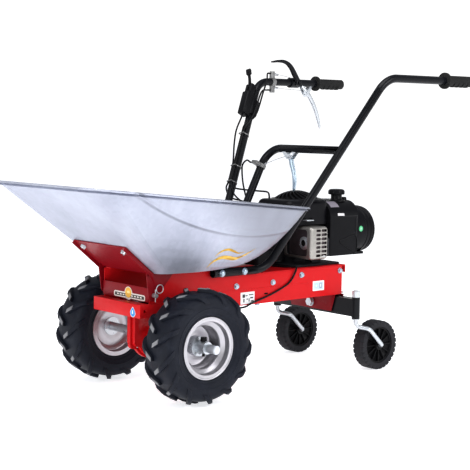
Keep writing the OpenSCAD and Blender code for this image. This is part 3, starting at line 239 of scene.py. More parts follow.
def galvanised_sheet():
    zinc = Finish("galvanised_sheet", Metallic=0.55, Specular_IOR_Level=0.5)
    across, along, height = zinc.axes()
    cloud = zinc.noise(4.5, 4, 0.5)
    crystal = zinc.node("ShaderNodeTexVoronoi", {"out": "Color"}, Vector=zinc.place, Scale=85.0,
                        Randomness=1.0)
    crystal = zinc.node("ShaderNodeSeparateColor", {}, crystal)
    drawn = zinc.noise(9, 3, 0.5, (1, 1, 0.12))
    shade = 0.58 * cloud + 0.08 * crystal + 0.34 * drawn
    dark, plain, bright = (0.33, 0.35, 0.42), (0.43, 0.45, 0.53), (0.52, 0.545, 0.62)
    colour = zinc.ramp(shade, (0.30, dark), (0.5, plain), (0.70, bright))
    # The upper rear of the tub is painted darker as painted shade, broken into streaks along the drawing
    # marks.
    painted_shade_upper_rear = zinc.node("ShaderNodeMapRange", {"interpolation_type": "SMOOTHSTEP"},
                           height * 0.5 + along * 0.42, 0.100, 0.200)
    painted_shade_upper_rear = painted_shade_upper_rear * (0.35 + 0.9 * drawn)
    colour = zinc.blend(painted_shade_upper_rear, colour, (0.27, 0.28, 0.325))
    zinc.feed(Base_Color=colour, Roughness=0.33 + 0.22 * cloud + 0.06 * crystal)
    # The pressed line is lowest at one place and bows upwards in front of it and behind it.
    lowest_y, lowest_z, bow = 0.230, 0.468, 0.576
    behind = along - (axle.y + lowest_y)
    line = height - (lowest_z + bow * behind * behind)
    ridge = zinc.node("ShaderNodeMath", {"operation": "EXPONENT"}, 0 - (line * 190) ** 2)
    side = zinc.node("ShaderNodeMath", {"operation": "SMOOTH_MIN"}, abs(across) * 30 - 4.5, 1.0, 0.6)
    side = zinc.node("ShaderNodeMath", {"operation": "MAXIMUM"}, side, 0.0)
    return zinc.bump(1.5 * ridge * side + 0.12 * drawn * side + 0.04 * zinc.noise(30, 3), 0.0022).material


def cover(node, material):
    """Gives a CAD node its finish and leaves its mesh as it is."""
    piece = frame["nodes"][node]
    piece.data.materials.clear()
    piece.data.materials.append(material)


cover("tub", galvanised_sheet())

# ---- Cradle under the tub ----
# One folded plate carries the tub: a floor, a leaning front panel with return flanges and two cheeks
# down to the tilt pin. It is cut from 3 mm steel, folded, and powder coated red like the chassis.
def alone(piece):
    if bpy.context.object and bpy.context.object.mode != "OBJECT":
        bpy.ops.object.mode_set(mode="OBJECT")
    bpy.ops.object.select_all(action="DESELECT")
    piece.select_set(True)
    bpy.context.view_layer.objects.active = piece


def settle(piece, name, body, slot, material, *nodes, angle=35):
    """Names a finished piece, puts its place into its mesh, and fixes it to its body."""
    alone(piece)
    bpy.ops.object.transform_apply(location=True, rotation=True, scale=True)
    if angle:
        bpy.ops.object.shade_smooth_by_angle(angle=math.radians(angle))
    piece.name = name
    piece.data.name = name
    piece.data.materials.clear()
    piece.data.materials.append(material)
    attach(piece, body)
    if nodes:
        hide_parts(*nodes)


def round_edges(piece, width, longer=4.0, sharp=35):
    """Rounds the long sharp edges, as paint and a deburring wheel leave them."""
    alone(piece)
    shape = bmesh.new()
    shape.from_mesh(piece.data)
    weights = shape.edges.layers.float
    mark = weights.get("bevel_weight_edge") or weights.new("bevel_weight_edge")
    for edge in shape.edges:
        if len(edge.link_faces) == 2 and edge.calc_length() > longer / 1000:
            edge[mark] = 1.0 if edge.calc_face_angle(0) > math.radians(sharp) else 0.0
    shape.to_mesh(piece.data)
    shape.free()
    rounding = piece.modifiers.new("edges", "BEVEL")
    rounding.limit_method = "WEIGHT"
    rounding.width = width / 1000
    rounding.segments = 2
    rounding.use_clamp_overlap = False
    bpy.ops.object.modifier_apply(modifier="edges")
    return piece


def edged(node, width=0.8, longer=4.0):
    """The CAD part again as one welded mesh with rounded edges."""
    piece = frame["nodes"][node].copy()
    piece.data = piece.data.copy()
    piece.parent = None
    bpy.context.collection.objects.link(piece)
    alone(piece)
    bpy.ops.object.mode_set(mode="EDIT")
    bpy.ops.mesh.select_all(action="SELECT")
    bpy.ops.mesh.remove_doubles(threshold=0.00001)
    bpy.ops.mesh.dissolve_limited(angle_limit=math.radians(1))
    bpy.ops.object.mode_set(mode="OBJECT")
    return round_edges(piece, width, longer) if width else piece


def body_of(node):
    return next(b for b, nodes in frame["record"]["behaviour"]["bodies"].items() if node in nodes)


def dress(node, slot, material, width=0.8, longer=4.0, angle=35):
    """Replaces a CAD part by its edged copy in a real finish."""
    settle(edged(node, width, longer), node + "_skin", body_of(node), slot, material, node, angle=angle)


def powder_coat(name, colour, deep, dusty=0.0, rough=0.3):
    coat = Finish(name, Coat_Roughness=0.12, Specular_IOR_Level=0.16)
    height = coat.axes()[2]
    film = coat.noise(14, 4, 0.6)
    scuff = coat.node("ShaderNodeMath", {"operation": "MAXIMUM"}, coat.noise(60, 5, 0.7) * 3.2 - 1.95, 0.0)
    scuff = scuff * dusty
    paint = coat.blend(film, colour, deep)
    paint = coat.blend(scuff, paint, (0.30, 0.22, 0.20))
    coat.feed(Base_Color=paint, Roughness=rough + 0.14 * film + 0.4 * scuff, Coat_Weight=0.10 - 0.08 * scuff)
    return coat.bump(coat.noise(900, 2, 0.5) + 3.0 * coat.noise(40, 2), 0.00012).material


red_coat = powder_coat("red_powder_coat", (0.60, 0.010, 0.014), (0.51, 0.007, 0.011), 0.2)
# The same red paint in a much darker copy, as painted shade, for plates that face down or sit low out of the
# light.
painted_shade_red_coat = powder_coat("shaded_red_powder_coat", (0.26, 0.004, 0.012), (0.20, 0.003, 0.009), 0.2)
dress("tub_bracket", "red_paint", painted_shade_red_coat, 1.0, 9.0)


def zinc_plate(name, bright, dark, rough=0.24):
    plate = Finish(name, Metallic=0.72)
    cloud = plate.noise(45, 4, 0.6)
    brushed = plate.noise(90, 2, 0.5, (1, 1, 0.15))
    tone = plate.blend(cloud * 0.85 + brushed * 0.15, dark, bright)
    plate.feed(Base_Color=tone, Roughness=rough + 0.2 * cloud)
    return plate.bump(brushed, 0.00002).material


bright_zinc = zinc_plate("bright_zinc", (0.66, 0.68, 0.70), (0.44, 0.47, 0.51), 0.2)
blue_zinc = zinc_plate("blue_passivated_zinc", (0.50, 0.59, 0.66), (0.30, 0.38, 0.46), 0.18)
for node in ("tub_bolts", "pivot_pin"):
    dress(node, "zinc", bright_zinc, 0.35, 2.0)
for node in ("frame_bolts", "handle_bolts"):
    dress(node, "zinc", blue_zinc, 0.35, 3.0)

# ---- Chassis ----
# Two long folded side plates stand on the axle, joined by the front plates, the engine deck and the
# gearbox plate. All are 3 mm steel, powder coated red, and bolted through their webs.
for node in ("chassis_side_left", "chassis_side_right", "deck_plate", "front_bumper", "gearbox_plate"):
    dress(node, "red_paint", red_coat, 0.9, 9.0)
# The front plate and the beam bracket take the darker red copy: painted shade.
for node in ("front_plate", "beam_bracket"):
    dress(node, "dark_red_paint", painted_shade_red_coat, 0.9, 9.0)

# ---- Handles and grips ----
# Two bent 25 mm steel tubes and a cross tube, powder coated satin black, are bolted to the raised part
# of the side plates. A soft moulded grip is pushed onto each end.
black_coat = powder_coat("black_powder_coat", (0.010, 0.011, 0.014), (0.006, 0.006, 0.008), 0.04, 0.22)
for node in ("handle_left", "handle_right", "cross_tube"):
    dress(node, "black_paint", black_coat, 0)


def moulded(name, colour, rough=0.42, grain=1.0):
    plastic = Finish(name, Specular_IOR_Level=0.14)
    cloud = plastic.noise(22, 4, 0.6)
    lighter = tuple(c * 1.8 + 0.002 for c in colour)
    plastic.feed(Base_Color=plastic.blend(cloud, colour, lighter), Roughness=rough + 0.16 * cloud)
    return plastic.bump(plastic.noise(1400, 2, 0.6), 0.00005 * grain).material


soft_grip = moulded("soft_grip_rubber", (0.016, 0.016, 0.016), 0.6, 3.0)
for node in ("grip_left", "grip_right"):
    dress(node, "grip_foam", soft_grip, 0.8, 2.0)

# ---- Controls and cables ----
# The safety lever's clamp, the hangers of the other levers and the moulded throttle box sit on the
# tubes. Black sleeved cables run down from them, held by steel clips.
dress("safety_clamp", "black_paint", black_coat, 1.2, 3.0)
black_plastic = moulded("black_moulded_plastic", (0.005, 0.005, 0.006), 0.3)
dress("throttle_box", "black_plastic", black_plastic, 4.5, 6.0, 60)
dress("throttle_lever", "black_plastic", black_plastic)
dull_steel = zinc_plate("dull_steel", (0.33, 0.33, 0.33), (0.14, 0.14, 0.14), 0.4)
dress("cable_clips", "black_steel", dull_steel, 0.4, 5.0)
dress("reverse_hanger", "zinc", bright_zinc, 0)
dress("drive_hanger", "silver_steel", bright_zinc, 0.6, 3.0)
cable_cover = moulded("cable_cover", (0.006, 0.006, 0.007), 0.35)
for node in ("handle_cables", "reverse_cable"):
    dress(node, "cable", cable_cover, 0)

# ---- Castor beam, stems and rims ----
# A black steel beam rocks on one bolt at the rear. A bent zinc-plated rod turns in each of its ends and
# carries a wheel with a black moulded rim.
dress("castor_beam", "black_paint", black_coat)
dress("beam_bolt", "zinc", bright_zinc, 0)
for name in ("left", "right"):
    dress("castor_stem_" + name, "zinc", bright_zinc, 0)
    dress("castor_rim_" + name, "black_plastic", black_plastic, 0)

# ---- Axle, gearbox and belt drive ----
# A belt from the crankshaft drives the worm in a cast two-part gearbox, and the bronze worm wheel turns
# the axle. Lock pins with plastic heads hold the wheel hubs; one arm tightens the belt, one shifts gear.
for node in ("gearbox_left", "gearbox_right"):
    dress(node, "red_paint", red_coat, 0.9, 5.0)
for node in ("axle_shaft", "worm_shaft", "wheel_hubs"):
    dress(node, "zinc", bright_zinc, 0)
dress("worm_wheel", "bronze", zinc_plate("bronze", (0.55, 0.38, 0.16), (0.42, 0.28, 0.10)), 0)
dress("lock_pins", "black_plastic", black_plastic)
for node in ("idler_arm", "shift_arm", "crankshaft"):
    dress(node, "silver_steel", bright_zinc, 0.6, 3.0)
dress("drive_belt", "cable", cable_cover, 0)

# ---- Engine block ----
# The cylinder and crankcase are one aluminium casting, painted black, that is bolted to the deck with
# its shaft pointing down.
dress("engine_block", "cast", moulded("painted_casting", (0.010, 0.010, 0.012), 0.42, 4.0), 0.9, 5.0)

# ---- Drive tyres ----
# Two tubed farm-pattern tyres: a round carcass with plain sidewalls, and two rows of slanting bars
# that meet at the crown. The bars are worn pale where they touch the ground.
def turned(points, centre, steps=96):
    """A lathe shape about X: points are [radius, distance across], all in millimetres."""
    shape = bpy.data.meshes.new("turned")
    rim = [(across / 1000, 0, radius / 1000) for radius, across in points]
    ends = [(i, i + 1) for i in range(len(rim) - 1)]
    if points[0][0] > 0:
        ends.append((len(rim) - 1, 0))
    shape.from_pydata(rim, ends, [])
    piece = bpy.data.objects.new("turned", shape)
    bpy.context.collection.objects.link(piece)
    alone(piece)
    bpy.ops.object.mode_set(mode="EDIT")
    bpy.ops.mesh.select_all(action="SELECT")
    bpy.ops.mesh.spin(steps=steps, angle=math.tau, center=(0, 0, 0), axis=(1, 0, 0))
    bpy.ops.mesh.select_all(action="SELECT")
    bpy.ops.mesh.remove_doubles(threshold=0.000005)
    bpy.ops.mesh.normals_make_consistent(inside=False)
    bpy.ops.object.mode_set(mode="OBJECT")
    piece.location = centre
    return piece


def welded(*pieces):
    alone(pieces[0])
    for piece in pieces:
        piece.select_set(True)
    bpy.context.view_layer.objects.active = pieces[0]
    bpy.ops.object.join()
    return pieces[0]


def block(low, high):
    bpy.ops.object.select_all(action="DESELECT")
    bpy.ops.mesh.primitive_cube_add(size=1, location=(Vector(low) + Vector(high)) / 2)
    piece = bpy.context.object
    piece.scale = Vector(high) - Vector(low)
    bpy.ops.object.transform_apply(location=False, rotation=False, scale=True)
    return piece


half_track = 0.221
# The bars' outer line over half the tyre, from the crown down the shoulder: distance across and
# radius. The tyre bars are worked out in metres.
bar_line = [(0.003, 0.1652), (0.022, 0.1645), (0.040, 0.1615), (0.052, 0.1560), (0.060, 0.1470),
            (0.0615, 0.1380), (0.0600, 0.1290)]
bars_per_row = 13


def tread_bar():
    """One bar, made straight, then laid over the tyre's section and swept back round it."""
    shoulder_from, shoulder_run = 0.045, 0.015
    side_height, crown_height = 0.015, 0.016
    crown_breadth, added_breadth, sweep_back, mean_radius = 0.0105, 0.009, 0.070, 0.150
    bar = block((-0.5, -0.5, -0.5), (0.5, 0.5, 0.5))
    bpy.ops.object.mode_set(mode="EDIT")
    bpy.ops.mesh.select_all(action="SELECT")
    bpy.ops.mesh.bisect(plane_co=(0, 0, 0), plane_no=(1, 0, 0))
    for cut_at in (-0.36, -0.2, 0.16, 0.3, 0.42):
        bpy.ops.mesh.select_all(action="SELECT")
        bpy.ops.mesh.bisect(plane_co=(cut_at, 0, 0), plane_no=(1, 0, 0))
    bpy.ops.object.mode_set(mode="OBJECT")
    for point in bar.data.vertices:
        u, v, w = point.co
        outward = u + 0.5
        share = outward * (len(bar_line) - 1)
        i = min(int(share), len(bar_line) - 2)
        mix = share - i
        x = bar_line[i][0] * (1 - mix) + bar_line[i + 1][0] * mix
        r = bar_line[i][1] * (1 - mix) + bar_line[i + 1][1] * mix
        inward = min(max((x - shoulder_from) / shoulder_run, 0), 1)
        deep = 0.5 - w
        x -= deep * side_height * inward
        r -= deep * crown_height * (1 - 0.75 * inward)
        breadth = (crown_breadth + added_breadth * outward) * (1 + 0.45 * deep)
        sweep = outward * sweep_back * (1 - 0.18 * outward)
        angle = (sweep + v * breadth) / mean_radius
        point.co = (x, r * math.sin(angle), r * math.cos(angle))
    return round_edges(bar, 0.9, 1.0, 30)


def farm_tyre(side):
    lugs = []
    pattern = tread_bar()
    for row in (1, -1):
        for i in range(bars_per_row):
            turn = Matrix.Rotation(math.tau * (i + (0 if row > 0 else 0.5)) / bars_per_row, 4, "X")
            lug = pattern.copy()
            lug.data = pattern.data.copy()
            bpy.context.collection.objects.link(lug)
            lug.data.transform(turn @ Matrix.Diagonal((row, 1, 1, 1)))
            if row < 0:
                lug.data.flip_normals()
            lugs.append(lug)
    bpy.data.objects.remove(pattern)
    outer = [(92, 48.4), (97, 49.2), (99, 51.0), (104, 54.0), (112, 56.6), (113, 57.6), (114.5, 57.6),
             (115.5, 56.9), (126, 58.2), (136, 57.0), (143, 53.0), (148.5, 45.5), (151.8, 34), (153, 18),
             (153.3, 0)]
    inner = [(146, 0), (145, 30), (138, 44), (118, 50), (96, 44), (77.5, 40)]
    half = [(77.5, 45.6), (89.8, 45.8), (90.4, 47.4)] + outer
    far_half = [(r, -x) for r, x in reversed(half[:-1])]
    ring = half + far_half + [(r, -x) for r, x in reversed(inner)] + inner[1:]
    carcass = turned(ring, (0, 0, 0), 120)
    tyre = welded(carcass, *lugs)
    tyre.data.transform(Matrix.Diagonal((side, 1, 1, 1)))
    if side < 0:
        tyre.data.flip_normals()
    tyre.location = Vector((side * half_track, axle.y, axle.z))
    return tyre


def worn_rubber():
    rubber = Finish("worn_tyre_rubber", Specular_IOR_Level=0.2)
    across, along, height = rubber.axes()
    behind, above = along - axle.y, height - axle.z
    reach = (behind * behind + above * above) ** 0.5
    cloud = rubber.noise(18, 5, 0.6)
    fine = rubber.noise(140, 4, 0.65)
    crown_only = 1 - (abs(abs(across) - half_track) > 0.026)
    worn = rubber.node("ShaderNodeMapRange", {"interpolation_type": "SMOOTHSTEP"}, reach, 0.1615, 0.1648)
    worn = worn * crown_only * (0.55 + 0.45 * cloud)
    dust = rubber.node("ShaderNodeMapRange", {"interpolation_type": "SMOOTHSTEP"},
                       cloud * 0.6 + fine * 0.4, 0.45, 0.72)
    tint = rubber.blend(dust * 0.5, (0.010, 0.012, 0.020), (0.026, 0.030, 0.044))
    tint = rubber.blend(worn, tint, (0.30, 0.30, 0.31))
    rubber.feed(Base_Color=tint, Roughness=0.42 + 0.2 * cloud + 0.15 * worn)
    rings = rubber.node("ShaderNodeMath", {"operation": "SINE"}, reach * 2600)
    smooth_wall = rubber.node("ShaderNodeMapRange", {}, reach, 0.112, 0.100)
    return rubber.bump(fine * 0.5 + 0.4 * rings * smooth_wall + 0.6 * cloud, 0.00022).material


rubber = worn_rubber()
for side, name in ((1, "left"), (-1, "right")):
    settle(farm_tyre(side), "farm_tyre_" + name, "drive_axle", "rubber_tyre", rubber, "tyre_" + name,
           angle=32)

# ---- Drive rims ----
# Two pressed steel halves: a rolled flange, a stepped bead seat, a deep well, and a dished centre that
# is welded to the hub tube. They are painted silver.
rim_silver = zinc_plate("rim_silver_paint", (0.56, 0.55, 0.57), (0.42, 0.41, 0.44), 0.24)
rim_silver.node_tree.nodes["Principled BSDF"].inputs["Metallic"].default_value = 0.85
flange_r, flange_x = 86.3, 48.2
flange = [(flange_r + 2.6 * math.cos(a), flange_x + 1.9 * math.sin(a))
          for a in (math.radians(d) for d in range(-20, 200, 22))]
dish_face = [(76, 47), (75.2, 40), (74.6, 30), (72, 27.5), (63, 24.5), (60.8, 22), (60.2, 6), (60, -14),
             (57, -19), (50, -21), (36, -20), (31, -18.5), (15, -18.5)]
dish_back = [(15, -21), (31, -21), (36, -22.6), (51, -23.6), (59, -22), (60.5, -24), (73, -28.5), (75, -46),
             (75, -49.8), (88, -49.5), (88.6, -46.4), (77.2, -46.1), (77.2, -30), (63.4, -22),
             (62.8, 20), (64, 22.6), (76.5, 26), (77.2, 29), (77.2, 46.1), (84.2, 46.2)]
for side, name in ((1, "left"), (-1, "right")):
    section = [(r, side * x) for r, x in flange + dish_face + dish_back]
    rim = turned(section, (side * half_track, axle.y, axle.z), 96)
    settle(rim, "pressed_rim_" + name, "drive_axle", "rim_paint", rim_silver, "rim_" + name, angle=40)

# ---- Blower housing ----
# One black moulding covers the flywheel of the small vertical-shaft petrol engine. It has three vents on
# its left side and a round lip that holds the cooling screen.
def upright(points, place, steps=64):
    """Turned about a vertical line: points are [radius, height]."""
    piece = turned(points, place, steps)
    piece.rotation_euler = (0, -math.pi / 2, 0)
    return piece


def rounded_box(low, high, corners, top=0.0, both=False, shoulder=0.0, axis=2):
    """A box with its long corners rounded along one axis, then the rim of its far end."""
    box = block(at(*low), at(*high))
    for part, radius in (("shoulder", shoulder), ("corners", corners), ("top", top)):
        if not radius:
            continue
        roof = max(v.co[axis] for v in box.data.vertices)
        foot = min(v.co[axis] for v in box.data.vertices)
        bpy.ops.object.mode_set(mode="EDIT")
        bpy.ops.mesh.select_mode(type="EDGE")
        bpy.ops.mesh.select_all(action="DESELECT")
        bpy.ops.object.mode_set(mode="OBJECT")
        for edge in box.data.edges:
            a, b = (box.data.vertices[i].co for i in edge.vertices)
            along = b - a
            high_up = min(a[axis], b[axis]) > roof - 1e-5
            low_down = max(a[axis], b[axis]) < foot + 1e-5
            if part == "corners":
                edge.select = abs(along[axis]) > 0.9 * along.length and along.length > 0.3 * (roof - foot)
            elif part == "shoulder":
                edge.select = high_up and abs(along.y) > 0.9 * along.length
            else:
                edge.select = high_up or (both and low_down)
        bpy.ops.object.mode_set(mode="EDIT")
        bpy.ops.mesh.bevel(offset=radius / 1000, segments=10 if part == "shoulder" else 5, profile=0.5)
        bpy.ops.object.mode_set(mode="OBJECT")
    return box


def cut(piece, *cutters):
    tool = welded(*cutters)
    alone(piece)
    hole = piece.modifiers.new("cut", "BOOLEAN")
    hole.operation, hole.object, hole.solver = "DIFFERENCE", tool, "EXACT"
    bpy.ops.object.modifier_apply(modifier="cut")
    bpy.data.objects.remove(tool)
    return piece


crank_y = 580
crank = at(0, crank_y, 0)
housing_plastic = moulded("blower_housing_plastic", (0.0045, 0.0045, 0.006), 0.24, 1.2)
housing = rounded_box((-82, 474, 470), (82, 652, 549), 26, 19)
vents = [block(at(62, 505 + 26 * i, 484), at(90, 521 + 26 * i, 491)) for i in range(3)]
cut(housing, *vents)
lip = upright([(66, 545), (66, 550.5), (80, 550.5), (84, 548), (86, 543), (66, 543)], crank, 72)
settle(welded(housing, lip), "blower_housing", "chassis", "black_plastic", housing_plastic, "engine_shroud")

# ---- Cooling screen ----
# A shallow moulded dome of curved bars between a hub and a rim, set in the housing's lip. A near-black
# disc under it stands for the shade inside the housing: painted shade.
screen_r, screen_h, screen_foot = 77.0, 30.0, 545.4
ball = (screen_r ** 2 + screen_h ** 2) / (2 * screen_h)
screen_bars = 22


def screen_height(radius, inside=0.0):
    return screen_foot + screen_h - ball + math.sqrt(max((ball - inside) ** 2 - radius ** 2, 0))


def screen_bar(turn):
    hub_reach, bar_reach, lean, thick = 22, 52, 0.62, 5.0
    bar = block((-0.5, -0.5, -0.5), (0.5, 0.5, 0.5))
    bpy.ops.object.mode_set(mode="EDIT")
    for share in (-0.36, -0.22, -0.07, 0.08, 0.22, 0.36):
        bpy.ops.mesh.select_all(action="SELECT")
        bpy.ops.mesh.bisect(plane_co=(share, 0, 0), plane_no=(1, 0, 0))
    bpy.ops.object.mode_set(mode="OBJECT")
    for point in bar.data.vertices:
        u, v, w = point.co
        outward = u + 0.5
        radius = hub_reach + bar_reach * outward
        angle = turn + lean * outward ** 1.3 + v * (3.4 + 3.6 * outward) / radius
        height = screen_height(radius, thick if w < 0 else 0.0)
        point.co = at(radius * math.cos(angle), crank_y + radius * math.sin(angle), height)
    return bar


hub = upright([(0, screen_height(0)), (12, screen_height(12) + 0.4), (22, screen_height(22) + 0.4),
               (25.5, screen_height(25) - 0.4), (25.5, screen_height(25) - 5), (0, screen_height(0) - 5)],
              crank, 48)
ring = upright([(71, screen_height(71)), (75.5, screen_height(75.5)), (77.5, 550), (77.8, 546), (71, 546)],
               crank, 72)
bars = [screen_bar(math.tau * i / screen_bars) for i in range(screen_bars)]
settle(welded(ring, hub, *bars), "cooling_screen", "chassis", "black_plastic", housing_plastic,
       "starter_grille", angle=40)
painted_shade_black = moulded("painted_shade_black", (0.002, 0.002, 0.002), 0.7)
painted_shade_disc = upright([(0, 563), (40, 559), (69, 549), (69, 546), (0, 546)], crank, 48)
settle(painted_shade_disc, "screen_painted_shade", "chassis", "black_plastic", painted_shade_black)

# ---- Fuel tank ----
# A black moulded tank with a sloping left shoulder, two raised beads over it and a raised outline on its
# side. A short neck at the top takes the filler cap, and a small knob stands behind it.
def wire(points, radius, closed=False):
    """A round wire or raised bead that runs smoothly through its points."""
    line = bpy.data.curves.new("wire", "CURVE")
    line.dimensions = "3D"
    line.bevel_depth = radius / 1000
    line.bevel_resolution = 2
    line.use_fill_caps = not closed
    spline = line.splines.new("BEZIER")
    spline.bezier_points.add(len(points) - 1)
    for knot, point in zip(spline.bezier_points, points):
        knot.co = point
        knot.handle_left_type = knot.handle_right_type = "AUTO"
    spline.resolution_u = 10
    spline.use_cyclic_u = closed
    piece = bpy.data.objects.new("wire", line)
    bpy.context.collection.objects.link(piece)
    alone(piece)
    bpy.ops.object.convert(target="MESH")
    return bpy.context.object


filler = at(40, 722, 0)
tank = rounded_box((-95, 642, 366), (95, 769, 541), 9, 5, shoulder=52)
bowed = rounded_box((-60, 640, 520), (60, 660, 545.5), 6, 3)
neck = upright([(29, 538), (28, 541.5), (20, 543.5), (18, 547), (18, 559), (15.2, 559), (15.2, 538)],
               filler, 48)
knob = upright([(0, 551), (8, 550.5), (10, 548), (10.5, 541), (12.5, 539.5), (12.5, 536), (0, 536)],
               at(40, 755, 0), 32)
front_bead = [(-66, 700, 538.6), (0, 700, 541), (44, 700, 540.8), (66, 698, 534.6), (80, 694, 521.4),
              (91, 690, 502), (95.2, 686, 482)]
rear_bead = [(-66, 758, 538.6), (0, 758, 541), (44, 758, 540.8), (66, 758, 534.6), (80, 758, 521.4),
             (91, 758, 502), (95.2, 758, 440)]
beads = [wire([at(*place) for place in line], 1.2) for line in (front_bead, rear_bead)]
tank_side = 95.0
outline = [(686, 412), (706, 419), (757, 428), (762, 423), (763, 378), (757, 371), (744, 377), (689, 407)]
triangle = wire([at(tank_side, y, z) for y, z in outline], 1.7, True)
tank_plastic = Finish("tank_plastic", Specular_IOR_Level=0.14)
across, along, height = tank_plastic.axes()
cloud = tank_plastic.noise(22, 4, 0.6)
# A lighter grey patch on the top of the left shoulder is a painted highlight.
shoulder_highlight = (along > axle.y + 0.655) * (along < axle.y + 0.693) * (across > 0.056) * (across < 0.083)
# A thin near-white line low on the shoulder's outer edge is a painted highlight.
off_line = abs(height - 0.4985 + 0.05 * (along - axle.y - 0.690))
mark = (along > axle.y + 0.676) * (along < axle.y + 0.706) * (off_line < 0.0042)
mark = mark * (across > 0.085)
tint = tank_plastic.blend(cloud, (0.0045, 0.0045, 0.006), (0.010, 0.010, 0.012))
tint = tank_plastic.blend(shoulder_highlight * 0.9, tint, (0.26, 0.24, 0.28))
tint = tank_plastic.blend(mark, tint, (0.62, 0.60, 0.62))
tank_plastic.feed(Base_Color=tint, Roughness=0.25 + 0.16 * cloud)
tank_plastic.bump(tank_plastic.noise(1400, 2, 0.6), 0.00005)
settle(welded(tank, bowed, neck, knob, triangle, *beads), "fuel_tank_moulding", "chassis", "black_plastic",
       tank_plastic.material, "fuel_tank")

# ---- Filler cap ----
# A black moulded bayonet cap with a grooved edge for the fingers. It turns on the tank's neck.
groove_count = 24
cap = upright([(0, 577.6), (14, 577.6), (21, 576.8), (25.5, 574.0), (27, 570.0), (27, 561.5), (25.5, 560.2),
               (14.9, 560.2), (14.9, 550), (0, 550)], filler, 72)
grooves = []
for i in range(groove_count):
    groove = block((0.0258, -0.0012, 0.5625), (0.0285, 0.0012, 0.5725))
    round_the_cap = Matrix.Rotation(math.tau * i / groove_count, 4, "Z")
    groove.data.transform(round_the_cap @ Matrix.Translation(groove.location))
    groove.location = filler
    grooves.append(groove)
settle(cut(cap, *grooves), "filler_cap_moulding", "filler_cap", "black_plastic", housing_plastic, "fuel_cap",
       angle=30)

# ---- Air filter ----
# A round black moulded drum lies behind the tank, with three grooves round its rear half. Two small
# feet stand under it.
def lengthways(points, place, steps=96):
    """Turned about a line that runs back: points are [radius, distance back]."""
    piece = turned(points, place, steps)
    piece.rotation_euler = (0, 0, math.pi / 2)
    return piece


drum = lengthways([(0, 768.6), (74, 768.6), (77.5, 770.5), (79, 775), (79, 829), (77.2, 831.5), (77.2, 834.5),
                   (79, 837), (79, 846), (75.8, 848), (75.8, 851.5), (78.2, 854), (78.2, 859), (74.6, 861),
                   (74.6, 864), (76.5, 866.5), (75.5, 871), (70, 876.5), (58, 880), (0, 880)], at(0, 0, 439))
feet = [rounded_box((x - 12, 800, 358), (x + 12, 850, 366), 3) for x in (-30, 34)]
settle(welded(drum, *feet), "air_filter_drum", "chassis", "black_plastic", housing_plastic, "air_filter",
       angle=28)

# ---- Exhaust ----
# The exhaust box stands at the left of the cylinder, inside a pressed steel guard with two rows of slots
# and a window. Its outlet is a short rolled tube.
guard = rounded_box((4, 527.4, 362.4), (123.6, 606, 466.6), 13, 9, axis=0)
hollow = rounded_box((-10, 530.5, 365.5), (120.9, 620, 463.5), 11, 7, axis=0)
window = rounded_box((13, 515, 373), (107, 540, 457), 9, axis=1)
slots = []
slot_r, lowest_slot, slot_step = 4.1, 375.5, 13.1
slot_end = [(0, -10), (slot_r, -10), (slot_r, 10), (0, 10)]
for column, width in ((562, 12), (587, 16)):
    for row in range(7):
        z = lowest_slot + slot_step * row
        bar = block(at(112, column - width / 2, z - slot_r), at(132, column + width / 2, z + slot_r))
        ends = [turned(slot_end, at(122, column + s * width / 2, z), 16) for s in (-1, 1)]
        slots += [bar, *ends]
for cutter in (hollow, window, *slots):
    cut(guard, cutter)
guard_steel = zinc_plate("pressed_guard_steel", (0.52, 0.50, 0.47), (0.22, 0.21, 0.20), 0.26)
settle(guard, "exhaust_guard", "chassis", "black_steel", guard_steel, "muffler_guard", angle=40)
heated_steel = zinc_plate("heated_steel", (0.16, 0.13, 0.14), (0.05, 0.04, 0.045), 0.34)
can = rounded_box((12, 533.5, 370), (117, 601, 460), 12, 6, True, axis=1)
studs = [turned([(0, 0), (3.6, 0), (3.6, 2.2), (2.8, 3.2), (0, 3.2)], at(x, 533, z), 12)
         for x in (104, 28) for z in (446, 380)]
for stud in studs:
    stud.rotation_euler = (0, 0, -math.pi / 2)
settle(welded(can, *studs), "exhaust_can", "chassis", "black_steel", heated_steel, "muffler")
tailpipe = at(88, 0, 414)
outlet = lengthways([(21, 534), (21, 532.4), (17.5, 531.6), (14, 528.6), (12.4, 528.0), (10.6, 528.4),
                     (10.6, 534.5)], tailpipe, 40)
settle(outlet, "exhaust_outlet", "chassis", "black_steel", bright_zinc)
# The bore is a near-black disc set inside the outlet: painted shade.
hole = lengthways([(0, 530.6), (10.7, 530.6), (10.7, 533.2), (0, 533.2)], tailpipe, 40)
settle(hole, "exhaust_bore", "chassis", "black_steel", painted_shade_black)

# ---- Small engine pieces ----
# Moulded covers over the cylinder and the belt, a zinc-plated heat tab above the exhaust, the breather
# hose from the crankcase, and the spark plug lead with its rubber boot.
shield = rounded_box((-80, 468, 352), (2, 600, 470), 10, 4)
settle(shield, "cylinder_shield", "chassis", "cast", housing_plastic)
belt_guard = rounded_box((-84, 392, 346), (24, 474, 394), 14, 8)
settle(belt_guard, "front_belt_guard", "chassis", "cast", housing_plastic)
tab = rounded_box((80, 530, 484.5), (104, 562, 488), 4, 1, True)
settle(tab, "heat_shield_tab", "chassis", "black_steel", bright_zinc)
breather = wire([at(88, 638, 367), at(90, 636, 388), at(90, 636, 404), at(86, 642, 424)], 4.2)
hose_rubber = moulded("hose_rubber", (0.03, 0.03, 0.034), 0.5)
settle(breather, "breather_hose", "chassis", "black_plastic", hose_rubber)
lead = wire([at(-40, 472, 425), at(-30, 466, 440), at(-6, 463, 460), at(20, 471, 474), at(30, 478, 477)], 3.2)
boot = lengthways([(0, 462), (6, 462), (7.5, 466), (8.5, 477), (0, 477)], at(-40, 0, 424), 24)
settle(welded(lead, boot), "spark_plug_lead", "chassis", "black_plastic", housing_plastic)

